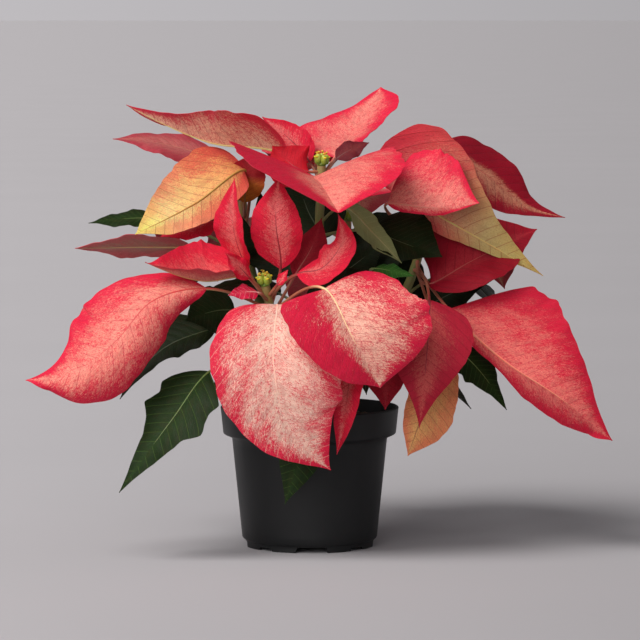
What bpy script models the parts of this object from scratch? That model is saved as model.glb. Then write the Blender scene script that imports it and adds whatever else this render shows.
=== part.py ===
"""A poinsettia in a round nursery pot: pot, soil, leafy stem, blooms of bracts and their flower clusters.

Sizes are in millimetres, and add_object turns them into metres when it makes a mesh. +Z is up, and the origin
is the centre of the pot's base, on the surface that it stands on. -Y is the side that the plant is seen from,
and +X is to the right from there.
"""

import math
from collections import namedtuple

import bpy
import numpy as np

MM = 0.001

# The pot, a 12 cm nursery pot. The band round its rim is narrower below, by RIM_TAPER.
POT_HEIGHT = 94.0
RIM_RADIUS = 60.0
RIM_BAND = 18.0
RIM_TAPER = 1.8
RIM_LIP = 1.0
LIP_BEVEL = 0.5
SHOULDER_RADIUS = 52.3
SHOULDER_CHAMFER = 2.8
BODY_FOOT_RADIUS = 45.5
FOOT_RADIUS = 43.5
FOOT_HEIGHT = 4.5
FOOT_CHAMFER = 1.2
WALL = 1.4
POT_SIDES = 36
# A boss under the middle of the floor, where the pot was moulded from, reaches down to the ground.
GATE_RADIUS = 5.0
GATE_DRAFT = 1.0
DRAIN_COUNT = 4
DRAIN_RADIUS = 4.5
DRAIN_RING = 29.0
DRAIN_SIDES = 8
# Notches in the foot: their number, width in degrees, height and first place in degrees.
FOOT_NOTCHES = [(4, 27.0, 3.8, -88.0), (4, 15.0, 2.0, -43.0)]
# How far a cutter reaches past the wall that it cuts.
CUT_MARGIN = 1.0
NOTCH_REACH = 6.0

# The soil, which has a plain hole for the trunk. Its top is uneven: rows of radius and height above SOIL_TOP.
SOIL_TOP = 85.0
SOIL_SURFACE = [(38.0, 1.2), (20.0, 0.4)]
SOIL_COLLAR = 2.0
SOIL_SIDES = 24
GAP = 0.3

# Stems.
TRUNK_RADIUS = 5.2
TRUNK_FOOT = 46.0
TRUNK_TOP = 112.0
STEM_RADIUS = 3.0
STEM_SIDES = 8
HEAD_LENGTH = 36.0

# Leaves and bracts.
PETIOLE_RADIUS = 1.2
BLADE_THICKNESS = 0.7
TIP_HALF_WIDTH = 0.5
SMALL_BLADE = 27
OPEN_WIDTH = 9.0
SIDE_PHASE = 0.27

# Cyathia: turned sides, as rows of radius and height, of the button that they stand on, of a cup and of the
# gland at its lip. The cups stand in a ring, and every other one is higher.
BUTTON_SIDE = [(0, 0), (3.2, 0), (3.2, 1.4), (1.8, 3.4), (0, 3.8)]
BUTTON_SIDES = 8
CUP_SIDE = [(0, 0), (1.5, 0.2), (2.1, 3.6), (1.2, 6.4), (0, 6.8)]
CUP_SIDES = 6
CUP_COUNT = 5
CUP_RING = 3.1
CUP_TURN = 0.15
CUP_LIFTS = (0.4, 1.2)
GLAND_SIDE = [(0, 0), (1.5, 0.9), (0, 1.8)]
GLAND_SIDES = 4
GLAND_REACH = 1.6
GLAND_HEIGHT = 4.2

# Centre lines of the branches, from the trunk to the middle of each bloom.
BRANCHES = {
    "front": [(0, 0, 98), (-8, -20, 122), (-22, -40, 150), (-29, -50, 179)],
    "top": [(0, 0, 100), (3, 2, 150), (6, 3, 205), (8, 0, 256)],
    "left": [(0, 0, 95), (-18, 20, 125), (-38, 40, 175), (-46, 45, 230)],
    "right": [(0, 0, 97), (28, 6, 122), (62, 14, 165), (79, 17, 214)],
    "back": [(0, 0, 102), (8, 30, 132), (22, 62, 172), (26, 76, 214)],
}

# Half-width of a blade from its base, 0, to its tip, 1, as a share of its widest. A row with three numbers
# gives the left and the right half.
FORMS = {
    "ovate": [(0, 0.05), (0.08, 0.46), (0.22, 0.86), (0.4, 1), (0.6, 0.88), (0.81, 0.42), (1, 0)],
    "lance": [(0, 0.06), (0.1, 0.5), (0.27, 0.92), (0.45, 1), (0.65, 0.78), (0.83, 0.4), (1, 0)],
    "spade": [
        (0, 0.05), (0.07, 0.5), (0.19, 0.92), (0.33, 1), (0.5, 0.82), (0.67, 0.5), (0.82, 0.22), (1, 0),
    ],
    "blunt": [
        (0, 0.05), (0.08, 0.45), (0.22, 0.8), (0.42, 0.98), (0.62, 1), (0.78, 0.8), (0.91, 0.34), (1, 0),
    ],
    "toothed": [
        (0, 0.06), (0.09, 0.56), (0.2, 0.94), (0.28, 0.82), (0.41, 1), (0.49, 0.7), (0.66, 0.42),
        (0.84, 0.18), (1, 0),
    ],
    "hanging": [
        (0, 0.1, 0.1), (0.05, 0.45, 0.45), (0.18, 0.8, 0.84), (0.33, 0.95, 1), (0.47, 1, 0.95),
        (0.6, 0.98, 0.78), (0.73, 0.84, 0.5), (0.87, 0.46, 0.2), (1, 0, 0),
    ],
    "wide_left": [
        (0, 0.1, 0.1), (0.05, 0.54, 0.66), (0.18, 0.78, 0.96), (0.34, 0.9, 0.97), (0.57, 1, 0.76),
        (0.8, 0.88, 0.44), (0.92, 0.56, 0.16), (1, 0, 0),
    ],
    "sweeping": [
        (0, 0.05, 0.05), (0.1, 0.4, 0.5), (0.22, 0.66, 0.7), (0.36, 0.86, 0.88), (0.5, 0.94, 1),
        (0.65, 1, 0.97), (0.8, 0.68, 0.58), (0.9, 0.28, 0.2), (1, 0, 0),
    ],
    "leaning": [
        (0, 0.05, 0.05), (0.07, 0.5, 0.25), (0.2, 0.9, 0.5), (0.34, 1, 0.6), (0.5, 0.94, 0.7),
        (0.65, 0.64, 0.8), (0.8, 0.25, 1), (0.92, 0.1, 0.8), (1, 0, 0),
    ],
    "facing": [
        (0, 0.06, 0.06), (0.07, 0.55, 0.5), (0.18, 0.85, 0.94), (0.33, 0.98, 1), (0.52, 1, 1),
        (0.7, 0.98, 0.94), (0.85, 0.84, 0.62), (0.94, 0.5, 0.28), (1, 0.02, 0.01),
    ],
    "shouldered": [
        (0, 0.05, 0.05), (0.06, 0.62, 0.5), (0.12, 0.86, 0.8), (0.22, 1, 0.95), (0.36, 1, 1),
        (0.49, 0.94, 0.95), (0.63, 0.78, 0.85), (0.79, 0.5, 0.6), (0.92, 0.2, 0.2), (1, 0, 0),
    ],
    "tapering": [
        (0, 0.05, 0.05), (0.07, 0.6, 0.2), (0.19, 0.95, 0.36), (0.36, 1, 0.55), (0.55, 0.78, 0.95),
        (0.74, 0.45, 1), (0.88, 0.16, 0.6), (1, 0, 0),
    ],
    "deep": [
        (0, 0.1, 0.1), (0.05, 0.4, 0.62), (0.12, 0.7, 0.88), (0.21, 0.9, 0.96), (0.31, 1, 0.86),
        (0.46, 0.9, 0.6), (0.62, 0.6, 0.33), (0.8, 0.3, 0.14), (1, 0, 0),
    ],
    "square": [
        (0, 0.1, 0.05), (0.05, 0.6, 0.4), (0.14, 0.86, 0.8), (0.4, 1, 1), (0.61, 0.9, 0.85), (0.8, 0.76, 0.5),
        (0.88, 0.46, 0.3), (0.94, 0.18, 0.12), (1, 0, 0),
    ],
}

# One leaf or bract. branch names the stem that it grows from, and rise is how far its root is below the
# bloom's middle. path runs along the midrib from the blade's base to its tip. face is the way that the
# upper side looks at the base, and face_tip at the tip. half, fold and curl are pairs, for the left and the
# right of the midrib, seen from above with the tip ahead: the half-widths, how far each half is turned up
# at the midrib, and how much further it turns up by its margin, in degrees. wave is the height, the
# number and the phase of the waves along the margins.
Leaf = namedtuple("Leaf", "name branch rise form half path face face_tip fold curl wave")


def leaf(name, branch, rise, form, half, path, face, face_tip=None, fold=(8, 8), curl=(-15, -15),
         wave=(1.0, 2.5, 0)):
    return Leaf(name, branch, rise, form, half, path, face, face_tip or face, fold, curl, wave)


FRONT_BRACTS = [
    leaf("f1", "front", 16, "ovate", (17, 17), [(-19, -48, 190), (-22, -56, 222), (-20, -44, 251)],
         (0, -1, 0.1), fold=(12, 12)),
    leaf("f2a", "front", 14, "ovate", (15, 15), [(-41, -46, 190), (-50, -56, 220), (-49, -60, 250)],
         (-0.7, -0.7, 0.1), fold=(25, 25)),
    leaf("f2b", "front", 11, "ovate", (14, 31), [(-40, -54, 184), (-69, -62, 183), (-107, -75, 196)],
         (0, 0, 1), fold=(38, 62)),
    leaf("f3", "front", 13, "ovate", (7, 7), [(-39, -58, 184), (-55, -69, 202)], (0.3, -0.8, 0.4)),
    leaf("f4", "front", 12, "lance", (7, 7), [(-34, -60, 175), (-53, -71, 174)], (0, -0.7, 0.7)),
    leaf("f5", "front", 8, "lance", (3.5, 3.5), [(-21, -58, 180), (-14, -61, 190)], (-0.3, -0.8, 0.3)),
    leaf("f6", "front", 10, "ovate", (13, 16),
         [(-8, -56, 187), (8, -64, 191), (20, -64, 205), (19, -50, 226)],
         (-0.1, -0.5, 0.85), (-0.85, -0.5, 0), fold=(14, 6)),
    leaf("f7", "front", 18, "sweeping", (32, 42),
         [(-68, -65, 178), (-102, -82, 171), (-127, -90, 144), (-153, -88, 125), (-185, -78, 119)],
         (-0.3, -0.6, 0.75), (-0.1, -0.7, 0.7), fold=(-10, 5), curl=(-95, -10)),
    leaf("f8", "front", 24, "hanging", (42, 41),
         [(-21, -62, 167), (-23, -96, 130), (-11, -95, 85), (14, -86, 61)], (0.05, -0.7, 0.7), (0, -1, -0.1)),
    leaf("f9", "front", 20, "wide_left", (54, 42), [(10, -82, 179), (28, -104, 149), (46, -98, 116)],
         (0.1, -0.75, 0.65), (0.1, -1, 0.1), fold=(12, 22)),
    leaf("f10", "front", 30, "lance", (13, 10), [(28, -66, 150), (25, -76, 110), (18, -76, 70)],
         (-0.3, -0.9, 0.1), fold=(35, 35)),
    leaf("f11", "front", 34, "ovate", (14, 14), [(45, -47, 136), (50, -54, 97)], (0, -0.9, 0.3)),
    leaf("f12", "front", 22, "ovate", (11, 11), [(-10, -36, 184), (2, -30, 204), (8, -24, 222)],
         (0, -0.9, 0.3)),
]

TOP_BRACTS = [
    leaf("t1", "top", 9, "leaning", (46, 22), [(17, 12, 261), (29, 44, 276), (49, 76, 307)],
         (-0.2, -0.48, 0.85), fold=(4, 10)),
    leaf("t2", "top", 6, "facing", (56, 65), [(4, -12, 249), (8, -50, 245), (19, -89, 229)],
         (0, -0.1, 1), fold=(30, 25), curl=(-14, 0), wave=(0.6, 2, 0)),
    leaf("t4", "top", 4, "ovate", (18, 18), [(-1, -3, 252), (-25, 6, 269)], (-0.1, -0.8, 0.6)),
    leaf("t5", "top", 12, "ovate", (13, 13), [(0, 9, 258), (-32, 22, 288)], (0, -0.8, 0.6)),
    leaf("t6", "top", 11, "ovate", (8, 8), [(18, 4, 260), (40, 9, 271)], (0, -0.7, 0.7)),
    leaf("t7", "top", 15, "spade", (34, 24), [(-15, 8, 262), (-68, 20, 271), (-124, 26, 296)],
         (0, 0.75, 0.65), fold=(5, 55)),
    leaf("t8", "top", 18, "ovate", (34, 34), [(4, 22, 256), (0, 58, 264), (-6, 98, 246)], (0, 0.1, 1)),
]

LEFT_BRACTS = [
    leaf("l2", "left", 24, "ovate", (28, 28), [(-65, 56, 256), (-100, 60, 268), (-135, 56, 272)],
         (0, -0.25, 0.97)),
    leaf("l3", "left", 20, "shouldered", (31, 17), [(-44, 18, 252), (-76, -4, 231), (-116, -22, 211)],
         (-0.1, 0.8, -0.5)),
    leaf("l4", "left", 27, "ovate", (26, 26), [(-81, 10, 201), (-118, 6, 201), (-158, 6, 200)],
         (0, 0.35, 0.93)),
    leaf("l6", "left", 14, "ovate", (16, 16), [(-66, 20, 218), (-100, 2, 208)], (-0.2, -0.6, 0.75)),
    leaf("l7", "left", 12, "blunt", (13, 13), [(-44, 27, 230), (-43, 20, 246), (-41, 17, 262)], (0, -1, 0.1)),
    leaf("l8", "left", 17, "ovate", (34, 34), [(-62, 66, 226), (-84, 94, 222), (-104, 114, 190)],
         (-0.2, 0.3, 0.9)),
]

RIGHT_BRACTS = [
    leaf("r1", "right", 30, "spade", (30, 28), [(79, -50, 169), (76, -70, 125), (72, -70, 87)],
         (0.1, -0.7, 0.7), (0, -1, 0)),
    leaf("r2", "right", 28, "blunt", (12, 21), [(82, -28, 141), (76, -46, 100), (65, -50, 66)],
         (0.1, 0.9, 0.2)),
    leaf("r4", "right", 26, "tapering", (60, 19),
         [(93, -25, 161), (130, -45, 128), (165, -50, 105), (201, -40, 75)],
         (0.1, -0.85, 0.5), fold=(4, -60)),
    leaf("r5", "right", 23, "ovate", (46, 25), [(80, -22, 178), (107, -15, 192), (153, 5, 213)],
         (-0.1, -0.6, 0.8), fold=(20, 5)),
    leaf("r6", "right", 8, "deep", (12, 58), [(56, 5, 238), (97, -15, 217), (156, -15, 183)],
         (0.35, 0.9, 0.25)),
    leaf("r8", "right", 10, "square", (44, 6), [(52, -25, 232), (83, -40, 230), (112, -45, 233)],
         (0, -0.9, 0.43), fold=(6, -60)),
    leaf("r9", "right", 20, "spade", (29, 30),
         [(89, 45, 265), (120, 48, 248), (149, 44, 226), (174, 38, 219)], (0.1, -0.55, 0.8)),
    leaf("r10", "right", 14, "ovate", (32, 32), [(98, 44, 208), (118, 74, 198), (136, 98, 166)],
         (0.2, 0.3, 0.9)),
]

BACK_BRACTS = [
    leaf("b1", "back", 12, "ovate", (30, 30), [(30, 100, 228), (34, 135, 232), (36, 170, 208)], (0, 0.2, 1)),
    leaf("b2", "back", 14, "blunt", (38, 38), [(0, 92, 212), (-34, 122, 206), (-66, 142, 168)],
         (-0.2, 0.4, 0.9)),
    leaf("b3", "back", 16, "ovate", (36, 36), [(54, 94, 208), (88, 118, 200), (122, 136, 160)],
         (0.3, 0.4, 0.9)),
    leaf("b4", "back", 26, "ovate", (38, 38), [(24, 106, 188), (20, 134, 160), (14, 142, 118)],
         (0, 0.8, 0.6)),
]

GREEN_LEAVES = [
    leaf("d1", "front", 62, "toothed", (25, 25), [(-66, -64, 123), (-89, -80, 94), (-124, -85, 46)],
         (-0.2, -0.7, 0.65)),
    leaf("d2", "left", 86, "toothed", (15, 26), [(-63, -18, 148), (-96, -28, 136), (-126, -34, 102)],
         (-0.1, -0.6, 0.8)),
    leaf("d3", "front", 44, "ovate", (18, 18), [(-50, -22, 160), (-82, -42, 155)], (0, -0.9, 0.4)),
    leaf("d8", "front", 52, "ovate", (12, 12), [(-32, -30, 152), (-56, -42, 138)], (0, -0.9, 0.4)),
    leaf("d4", "right", 78, "toothed", (16, 16), [(99, -6, 132), (132, -16, 93)], (0.2, -0.7, 0.7)),
    leaf("d5", "front", 84, "ovate", (16, 14), [(-2, -63, 106), (-6, -72, 74), (-16, -74, 37)], (0, -1, 0.2)),
    leaf("g1", "top", 40, "ovate", (10, 10), [(24, -18, 229), (42, -32, 213), (61, -40, 193)],
         (0.2, 0.8, 0.5)),
    leaf("g2", "top", 48, "ovate", (29, 14), [(40, -20, 213), (64, -30, 205), (88, -38, 197)],
         (0.1, -0.7, 0.6)),
    leaf("g3", "right", 50, "lance", (6, 7), [(43, -34, 189), (69, -48, 185)], (0, -0.7, 0.7)),
    leaf("l5", "left", 40, "ovate", (11, 11), [(-99, 42, 217), (-151, 42, 215)], (0, -0.45, 0.9)),
    leaf("e1", "left", 66, "toothed", (26, 26), [(-60, 34, 168), (-98, 46, 158), (-134, 52, 132)],
         (0, -0.2, 1)),
    leaf("e2", "right", 64, "toothed", (26, 26), [(66, 34, 160), (100, 46, 154), (132, 54, 132)],
         (0, -0.2, 1)),
    leaf("e4", "top", 62, "ovate", (24, 24), [(30, 24, 190), (54, 34, 206), (84, 44, 210)], (0, -0.7, 0.7)),
    leaf("e5", "left", 52, "ovate", (13, 13), [(-46, 22, 190), (-46, 8, 206), (-45, -8, 222)],
         (0, -0.95, 0.3)),
    leaf("e7", "front", 58, "ovate", (12, 12), [(-2, -34, 168), (26, -36, 180), (56, -38, 184)],
         (0, -0.7, 0.7)),
    leaf("e8", "back", 64, "toothed", (30, 30), [(24, 66, 130), (34, 104, 122), (40, 134, 88)],
         (0, 0.5, 0.85)),
    leaf("e9", "back", 80, "toothed", (28, 28), [(-16, 50, 126), (-48, 84, 116), (-72, 106, 82)],
         (-0.3, 0.4, 0.85)),
    leaf("e10", "right", 92, "toothed", (26, 26), [(48, 30, 118), (84, 54, 110), (112, 76, 84)],
         (0.3, 0.2, 0.9)),
    leaf("e11", "top", 66, "toothed", (24, 24), [(-8, 18, 186), (-26, 26, 206), (-34, 28, 238)],
         (0, -1, 0.2)),
    leaf("e12", "top", 84, "toothed", (22, 22), [(14, 8, 178), (30, 16, 188), (52, 20, 206)], (0, -0.9, 0.4)),
    leaf("e14", "right", 58, "toothed", (20, 20), [(76, 28, 158), (98, 34, 168), (124, 36, 176)],
         (0, -0.8, 0.6)),
    leaf("e15", "top", 54, "ovate", (26, 26), [(8, 14, 206), (-2, 30, 226), (-10, 40, 252)], (0, -1, 0.2)),
    leaf("e16", "right", 72, "ovate", (18, 18), [(52, 22, 158), (60, 32, 176), (67, 38, 206)], (0, -1, 0.2)),
    leaf("e17", "left", 62, "ovate", (26, 26), [(-54, 62, 178), (-82, 82, 176), (-104, 98, 150)],
         (-0.4, 0.2, 0.9)),
    leaf("e18", "right", 54, "ovate", (26, 26), [(88, 40, 178), (114, 56, 172), (134, 64, 146)],
         (0.4, 0.1, 0.9)),
    leaf("e19", "top", 118, "ovate", (22, 22), [(24, 18, 128), (46, 24, 130), (66, 26, 108)],
         (0.3, -0.2, 0.9)),
    leaf("e20", "top", 110, "ovate", (20, 20), [(-20, 22, 168), (-46, 26, 174), (-74, 26, 166)],
         (-0.3, -0.2, 0.9)),
]

BLOOMS = {
    "front": FRONT_BRACTS,
    "top": TOP_BRACTS,
    "left": LEFT_BRACTS,
    "right": RIGHT_BRACTS,
    "back": BACK_BRACTS,
}


def unit(v):
    return v / np.maximum(np.linalg.norm(v, axis=-1, keepdims=True), 1e-9)


def smooth_curve(points, at):
    """Points and directions of a smooth curve through points, at shares of its length from 0 to 1."""
    p = np.asarray(points, float)
    step = np.linalg.norm(np.diff(p, axis=0), axis=1)
    knots = np.concatenate([[0], np.cumsum(step)])
    slope = np.diff(p, axis=0) / step[:, None]
    tangent = np.repeat(slope[:1], len(p), axis=0)
    if len(p) > 2:
        before, after = step[:-1, None], step[1:, None]
        tangent[1:-1] = (slope[:-1] * after + slope[1:] * before) / (before + after)
        tangent[0] = 1.5 * slope[0] - 0.5 * tangent[1]
        tangent[-1] = 1.5 * slope[-1] - 0.5 * tangent[-2]
    along = np.clip(np.asarray(at, float), 0, 1) * knots[-1]
    i = np.clip(np.searchsorted(knots, along, side="right") - 1, 0, len(step) - 1)
    h = step[i][:, None]
    u = ((along - knots[i]) / step[i])[:, None]
    place = (
        (2 * u**3 - 3 * u**2 + 1) * p[i]
        + (u**3 - 2 * u**2 + u) * h * tangent[i]
        + (3 * u**2 - 2 * u**3) * p[i + 1]
        + (u**3 - u**2) * h * tangent[i + 1]
    )
    way = (
        (6 * u**2 - 6 * u) * p[i] / h
        + (3 * u**2 - 4 * u + 1) * tangent[i]
        + (6 * u - 6 * u**2) * p[i + 1] / h
        + (3 * u**2 - 2 * u) * tangent[i + 1]
    )
    return place, unit(way)


def chord_length(points):
    return np.linalg.norm(np.diff(np.asarray(points, float), axis=0), axis=1).sum()


def on_branch(branch, rise):
    """The point of a branch's centre line that is rise below the middle of its bloom."""
    line = BRANCHES[branch]
    return smooth_curve(line, [1 - rise / chord_length(line)])[0][0]


def turned_up(fold, curl, reach):
    """How far out and how far up half-blades of width 1 get at reach, folded and then curled."""
    f = np.radians(fold)
    c = np.where(np.abs(np.radians(curl)) < 1e-4, 1e-4, np.radians(curl))
    return (np.sin(f + c * reach) - np.sin(f)) / c, (np.cos(f) - np.cos(f + c * reach)) / c


def half_widths(form, side, shares):
    """Shares of the widest half-width, where side is 0 for the left half and 1 for the right."""
    rows = FORMS[form]
    return np.interp(shares, [row[0] for row in rows], [row[-1] if side else row[1] for row in rows])


def blade_frame(one, shares):
    """Places along a leaf's midrib with the ways ahead, up and right there."""
    line = [on_branch(one.branch, one.rise)] + list(one.path)
    start = chord_length(line[:2]) / chord_length(line)
    place, way = smooth_curve(line, start + (1 - start) * shares)
    turn = shares[:, None]
    face = unit(np.array(one.face, float)) * (1 - turn) + unit(np.array(one.face_tip, float)) * turn
    up = unit(face - (face * way).sum(1)[:, None] * way)
    return place, way, up, np.cross(way, up)


def blade_grid(one, shares, reaches):
    """The middle surface of a blade: stations from base to tip, each a row of points from left to right."""
    place, _, up, right = blade_frame(one, shares)
    height, count, phase = one.wave
    swell = height * np.sin(math.pi * shares)
    halves = []
    for side, sign in ((0, -1), (1, 1)):
        half = np.maximum(half_widths(one.form, side, shares) * one.half[side], TIP_HALF_WIDTH)
        # A fold opens out flat where the blade is narrow, so that its two walls stay apart.
        opened = np.clip(half / OPEN_WIDTH, 0, 1)
        wave = swell * np.sin(2 * math.pi * (count * shares + phase + SIDE_PHASE * side))
        rows = []
        for reach in reaches:
            out, lift = turned_up(one.fold[side] * opened, one.curl[side] * opened, reach)
            outward = (half * out)[:, None] * sign * right
            upward = (half * lift + wave * reach**2)[:, None] * up
            rows.append(place + outward + upward)
        halves.append(rows)
    return np.stack(halves[0][::-1] + [place] + halves[1], axis=1)


def petiole_loop(place, way, up, across, radius):
    """A round section: points over the top from left to right, then back below."""
    u = unit(up - (up @ way) * way)
    r = np.cross(way, u)
    turn = np.linspace(math.pi * 0.9, math.pi * 0.1, across)
    over = [place + radius * (math.cos(a) * r + math.sin(a) * u) for a in turn]
    under = [place + radius * (math.cos(a) * r - math.sin(a) * u) for a in turn[::-1]]
    return over + under


def skin(loops, across):
    """Faces of a closed shape through loops, which the same diagonals cross above and below."""
    around = 2 * across
    faces = []
    for i in range(len(loops) - 1):
        for j in range(around):
            k = (j + 1) % around
            a, b, c, d = i * around + j, i * around + k, (i + 1) * around + k, (i + 1) * around + j
            faces += [(a, b, c), (a, c, d)] if j < across else [(a, b, d), (b, c, d)]
    last = (len(loops) - 1) * around
    for first, turn in ((0, 1), (last, -1)):
        for j in range(across - 1):
            a, b = first + j, first + j + 1
            c, d = first + around - 2 - j, first + around - 1 - j
            faces += [(a, d, c)[::turn], (a, c, b)[::turn]]
    return faces


def leaf_shape(one):
    """A closed leaf: a round petiole, rooted on its stem's centre line, that widens into a thin blade."""
    reaches = (1.0,) if max(one.half) < SMALL_BLADE else (0.55, 1.0)
    across = 2 * len(reaches) + 1
    shares = np.array([row[0] for row in FORMS[one.form]])
    line = [on_branch(one.branch, one.rise)] + list(one.path)
    start = chord_length(line[:2]) / chord_length(line)
    _, _, up, _ = blade_frame(one, shares)
    places, ways = smooth_curve(line, np.array([0, 0.5, 1]) * start)
    loops = [petiole_loop(p, w, up[0], across, PETIOLE_RADIUS) for p, w in zip(places, ways)]
    grid = blade_grid(one, shares, reaches)
    normal = unit(np.cross(np.gradient(grid, axis=1), np.gradient(grid, axis=0)))
    for row, out in list(zip(grid, normal))[1:]:
        over = row + out * BLADE_THICKNESS / 2
        under = row - out * BLADE_THICKNESS / 2
        loops.append(list(over) + list(under[::-1]))
    return [p for loop in loops for p in loop], skin(loops, across)


def tube_shape(line, start, end, radius, sections, sides=STEM_SIDES):
    """A closed tube along a part of a smooth centre line, given as shares of its length."""
    places, ways = smooth_curve(line, np.linspace(start, end, sections))
    across = sides // 2
    turn = np.linspace(0, 2 * math.pi, sides, endpoint=False)
    side = np.array([1.0, 0, 0])
    points = []
    for place, way in zip(places, ways):
        side = unit(side - (side @ way) * way)
        other = np.cross(way, side)
        points += [place + radius * (math.cos(a) * side - math.sin(a) * other) for a in -turn]
    loops = [points[i * sides:(i + 1) * sides] for i in range(sections)]
    return points, skin(loops, across)


def turned_shape(profile, sides, centre=(0, 0, 0)):
    """A closed turned solid. The profile runs from the axis below, out and up, to the axis above."""
    x, y, z = centre
    ring = [(r, h) for r, h in profile if r > 0]
    points = [(x, y, z + profile[0][1])]
    for r, h in ring:
        for k in range(sides):
            a = 2 * math.pi * k / sides
            points.append((x + r * math.cos(a), y + r * math.sin(a), z + h))
    points.append((x, y, z + profile[-1][1]))
    top = len(points) - 1
    faces = []
    for k in range(sides):
        n = (k + 1) % sides
        faces.append((0, 1 + n, 1 + k))
        for i in range(len(ring) - 1):
            a, b = 1 + i * sides + k, 1 + i * sides + n
            faces.append((a, b, b + sides, a + sides))
        faces.append((top, top - sides + k, top - sides + n))
    return points, faces


def ledge_height():
    """Height of the ledge under the band round the rim."""
    return POT_HEIGHT - RIM_BAND


def inner_radius(height):
    """Radius of the pot's inside at a height between its floor and the ledge."""
    low, high = BODY_FOOT_RADIUS - WALL, SHOULDER_RADIUS - WALL
    return float(np.interp(height, [FOOT_HEIGHT + WALL, ledge_height() - RIM_LIP], [low, high]))


def pot_profile():
    ledge = ledge_height()
    band_radius = RIM_RADIUS - RIM_TAPER
    below = [(0, 0), (GATE_RADIUS - GATE_DRAFT, 0), (GATE_RADIUS, FOOT_HEIGHT)]
    outside = [
        (FOOT_RADIUS - WALL, FOOT_HEIGHT),
        (FOOT_RADIUS - WALL, 0),
        (FOOT_RADIUS, 0),
        (FOOT_RADIUS, FOOT_HEIGHT),
        (BODY_FOOT_RADIUS, FOOT_HEIGHT + FOOT_CHAMFER),
        (SHOULDER_RADIUS, ledge - SHOULDER_CHAMFER),
        (band_radius, ledge),
        (RIM_RADIUS, POT_HEIGHT - RIM_LIP),
        (RIM_RADIUS - LIP_BEVEL, POT_HEIGHT),
    ]
    inside = [
        (RIM_RADIUS - WALL, POT_HEIGHT),
        (band_radius - WALL, ledge + WALL),
        (inner_radius(ledge - RIM_LIP), ledge - RIM_LIP),
        (inner_radius(0), FOOT_HEIGHT + WALL),
    ]
    return below + outside + inside + [(0, FOOT_HEIGHT + WALL)]


def notch_shape(width, height, turn):
    """A wedge through the foot ring, which cuts one notch."""
    half = math.radians(width) / 2
    inner, outer = FOOT_RADIUS - NOTCH_REACH, FOOT_RADIUS + NOTCH_REACH
    points = []
    for z in (-CUT_MARGIN, height):
        for radius, a in ((inner, -half), (outer, -half), (outer, half), (inner, half)):
            angle = math.radians(turn) + a
            points.append((radius * math.cos(angle), radius * math.sin(angle), z))
    faces = [(0, 3, 2, 1), (4, 5, 6, 7)] + [(k, (k + 1) % 4, 4 + (k + 1) % 4, 4 + k) for k in range(4)]
    return points, faces


def drain_shape(turn):
    centre = (DRAIN_RING * math.cos(turn), DRAIN_RING * math.sin(turn), FOOT_HEIGHT - CUT_MARGIN)
    drop = WALL + 2 * CUT_MARGIN
    return turned_shape([(0, 0), (DRAIN_RADIUS, 0), (DRAIN_RADIUS, drop), (0, drop)], DRAIN_SIDES, centre)


def soil_profile():
    """The soil fits the pot's inside with a gap, and has a hole for the trunk down its middle."""
    shelf = ledge_height() + WALL
    band = RIM_RADIUS - RIM_TAPER - WALL - GAP
    wide = band + (SOIL_TOP - shelf) * RIM_TAPER / RIM_BAND - GAP
    hole = TRUNK_RADIUS + GAP
    below = [
        (0, FOOT_HEIGHT + WALL + GAP),
        (inner_radius(0) - GAP, FOOT_HEIGHT + WALL + GAP),
        (inner_radius(POT_HEIGHT) - GAP, ledge_height() - RIM_LIP + GAP),
        (band, shelf + GAP),
    ]
    surface = [(wide, SOIL_TOP)] + [(radius, SOIL_TOP + lift) for radius, lift in SOIL_SURFACE]
    inside = [(hole, SOIL_TOP + SOIL_COLLAR), (hole, TRUNK_FOOT - GAP), (0, TRUNK_FOOT - GAP)]
    return below + surface + inside


def set_on_stem(shape, branch):
    """A shape made upright at the origin, set on the end of a branch and in line with it."""
    points, faces = shape
    place, way = smooth_curve(BRANCHES[branch], [1.0])
    side = unit(np.cross([0, 1.0, 0], way[0]))
    turn = np.stack([side, np.cross(way[0], side), way[0]])
    return np.array(points) @ turn + place[0], faces


def cup_shapes(branch):
    """Cyathia: a button on the end of the stem with small cups round it, each with a gland at its lip."""
    shapes = [turned_shape(BUTTON_SIDE, BUTTON_SIDES, (0, 0, GAP))]
    for k in range(CUP_COUNT):
        a = 2 * math.pi * (k + CUP_TURN) / CUP_COUNT
        x, y, z = math.cos(a), math.sin(a), GAP + CUP_LIFTS[k % 2]
        out = CUP_RING + GLAND_REACH
        shapes.append(turned_shape(CUP_SIDE, CUP_SIDES, (CUP_RING * x, CUP_RING * y, z)))
        shapes.append(turned_shape(GLAND_SIDE, GLAND_SIDES, (out * x, out * y, z + GLAND_HEIGHT)))
    return [set_on_stem(shape, branch) for shape in shapes]


def material(name, colour, roughness):
    made = bpy.data.materials.new(name)
    made.use_nodes = True
    shader = made.node_tree.nodes["Principled BSDF"]
    shader.inputs["Base Color"].default_value = (*colour, 1)
    shader.inputs["Roughness"].default_value = roughness
    shader.inputs["Metallic"].default_value = 0
    return made


def add_object(name, shape, finish=None):
    """A mesh object from points in millimetres and faces."""
    points, faces = shape
    mesh = bpy.data.meshes.new(name)
    mesh.from_pydata([tuple(float(c) * MM for c in p) for p in points], [], faces)
    mesh.validate()
    made = bpy.data.objects.new(name, mesh)
    bpy.context.scene.collection.objects.link(made)
    if finish:
        mesh.materials.append(finish)
    return made


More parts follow.
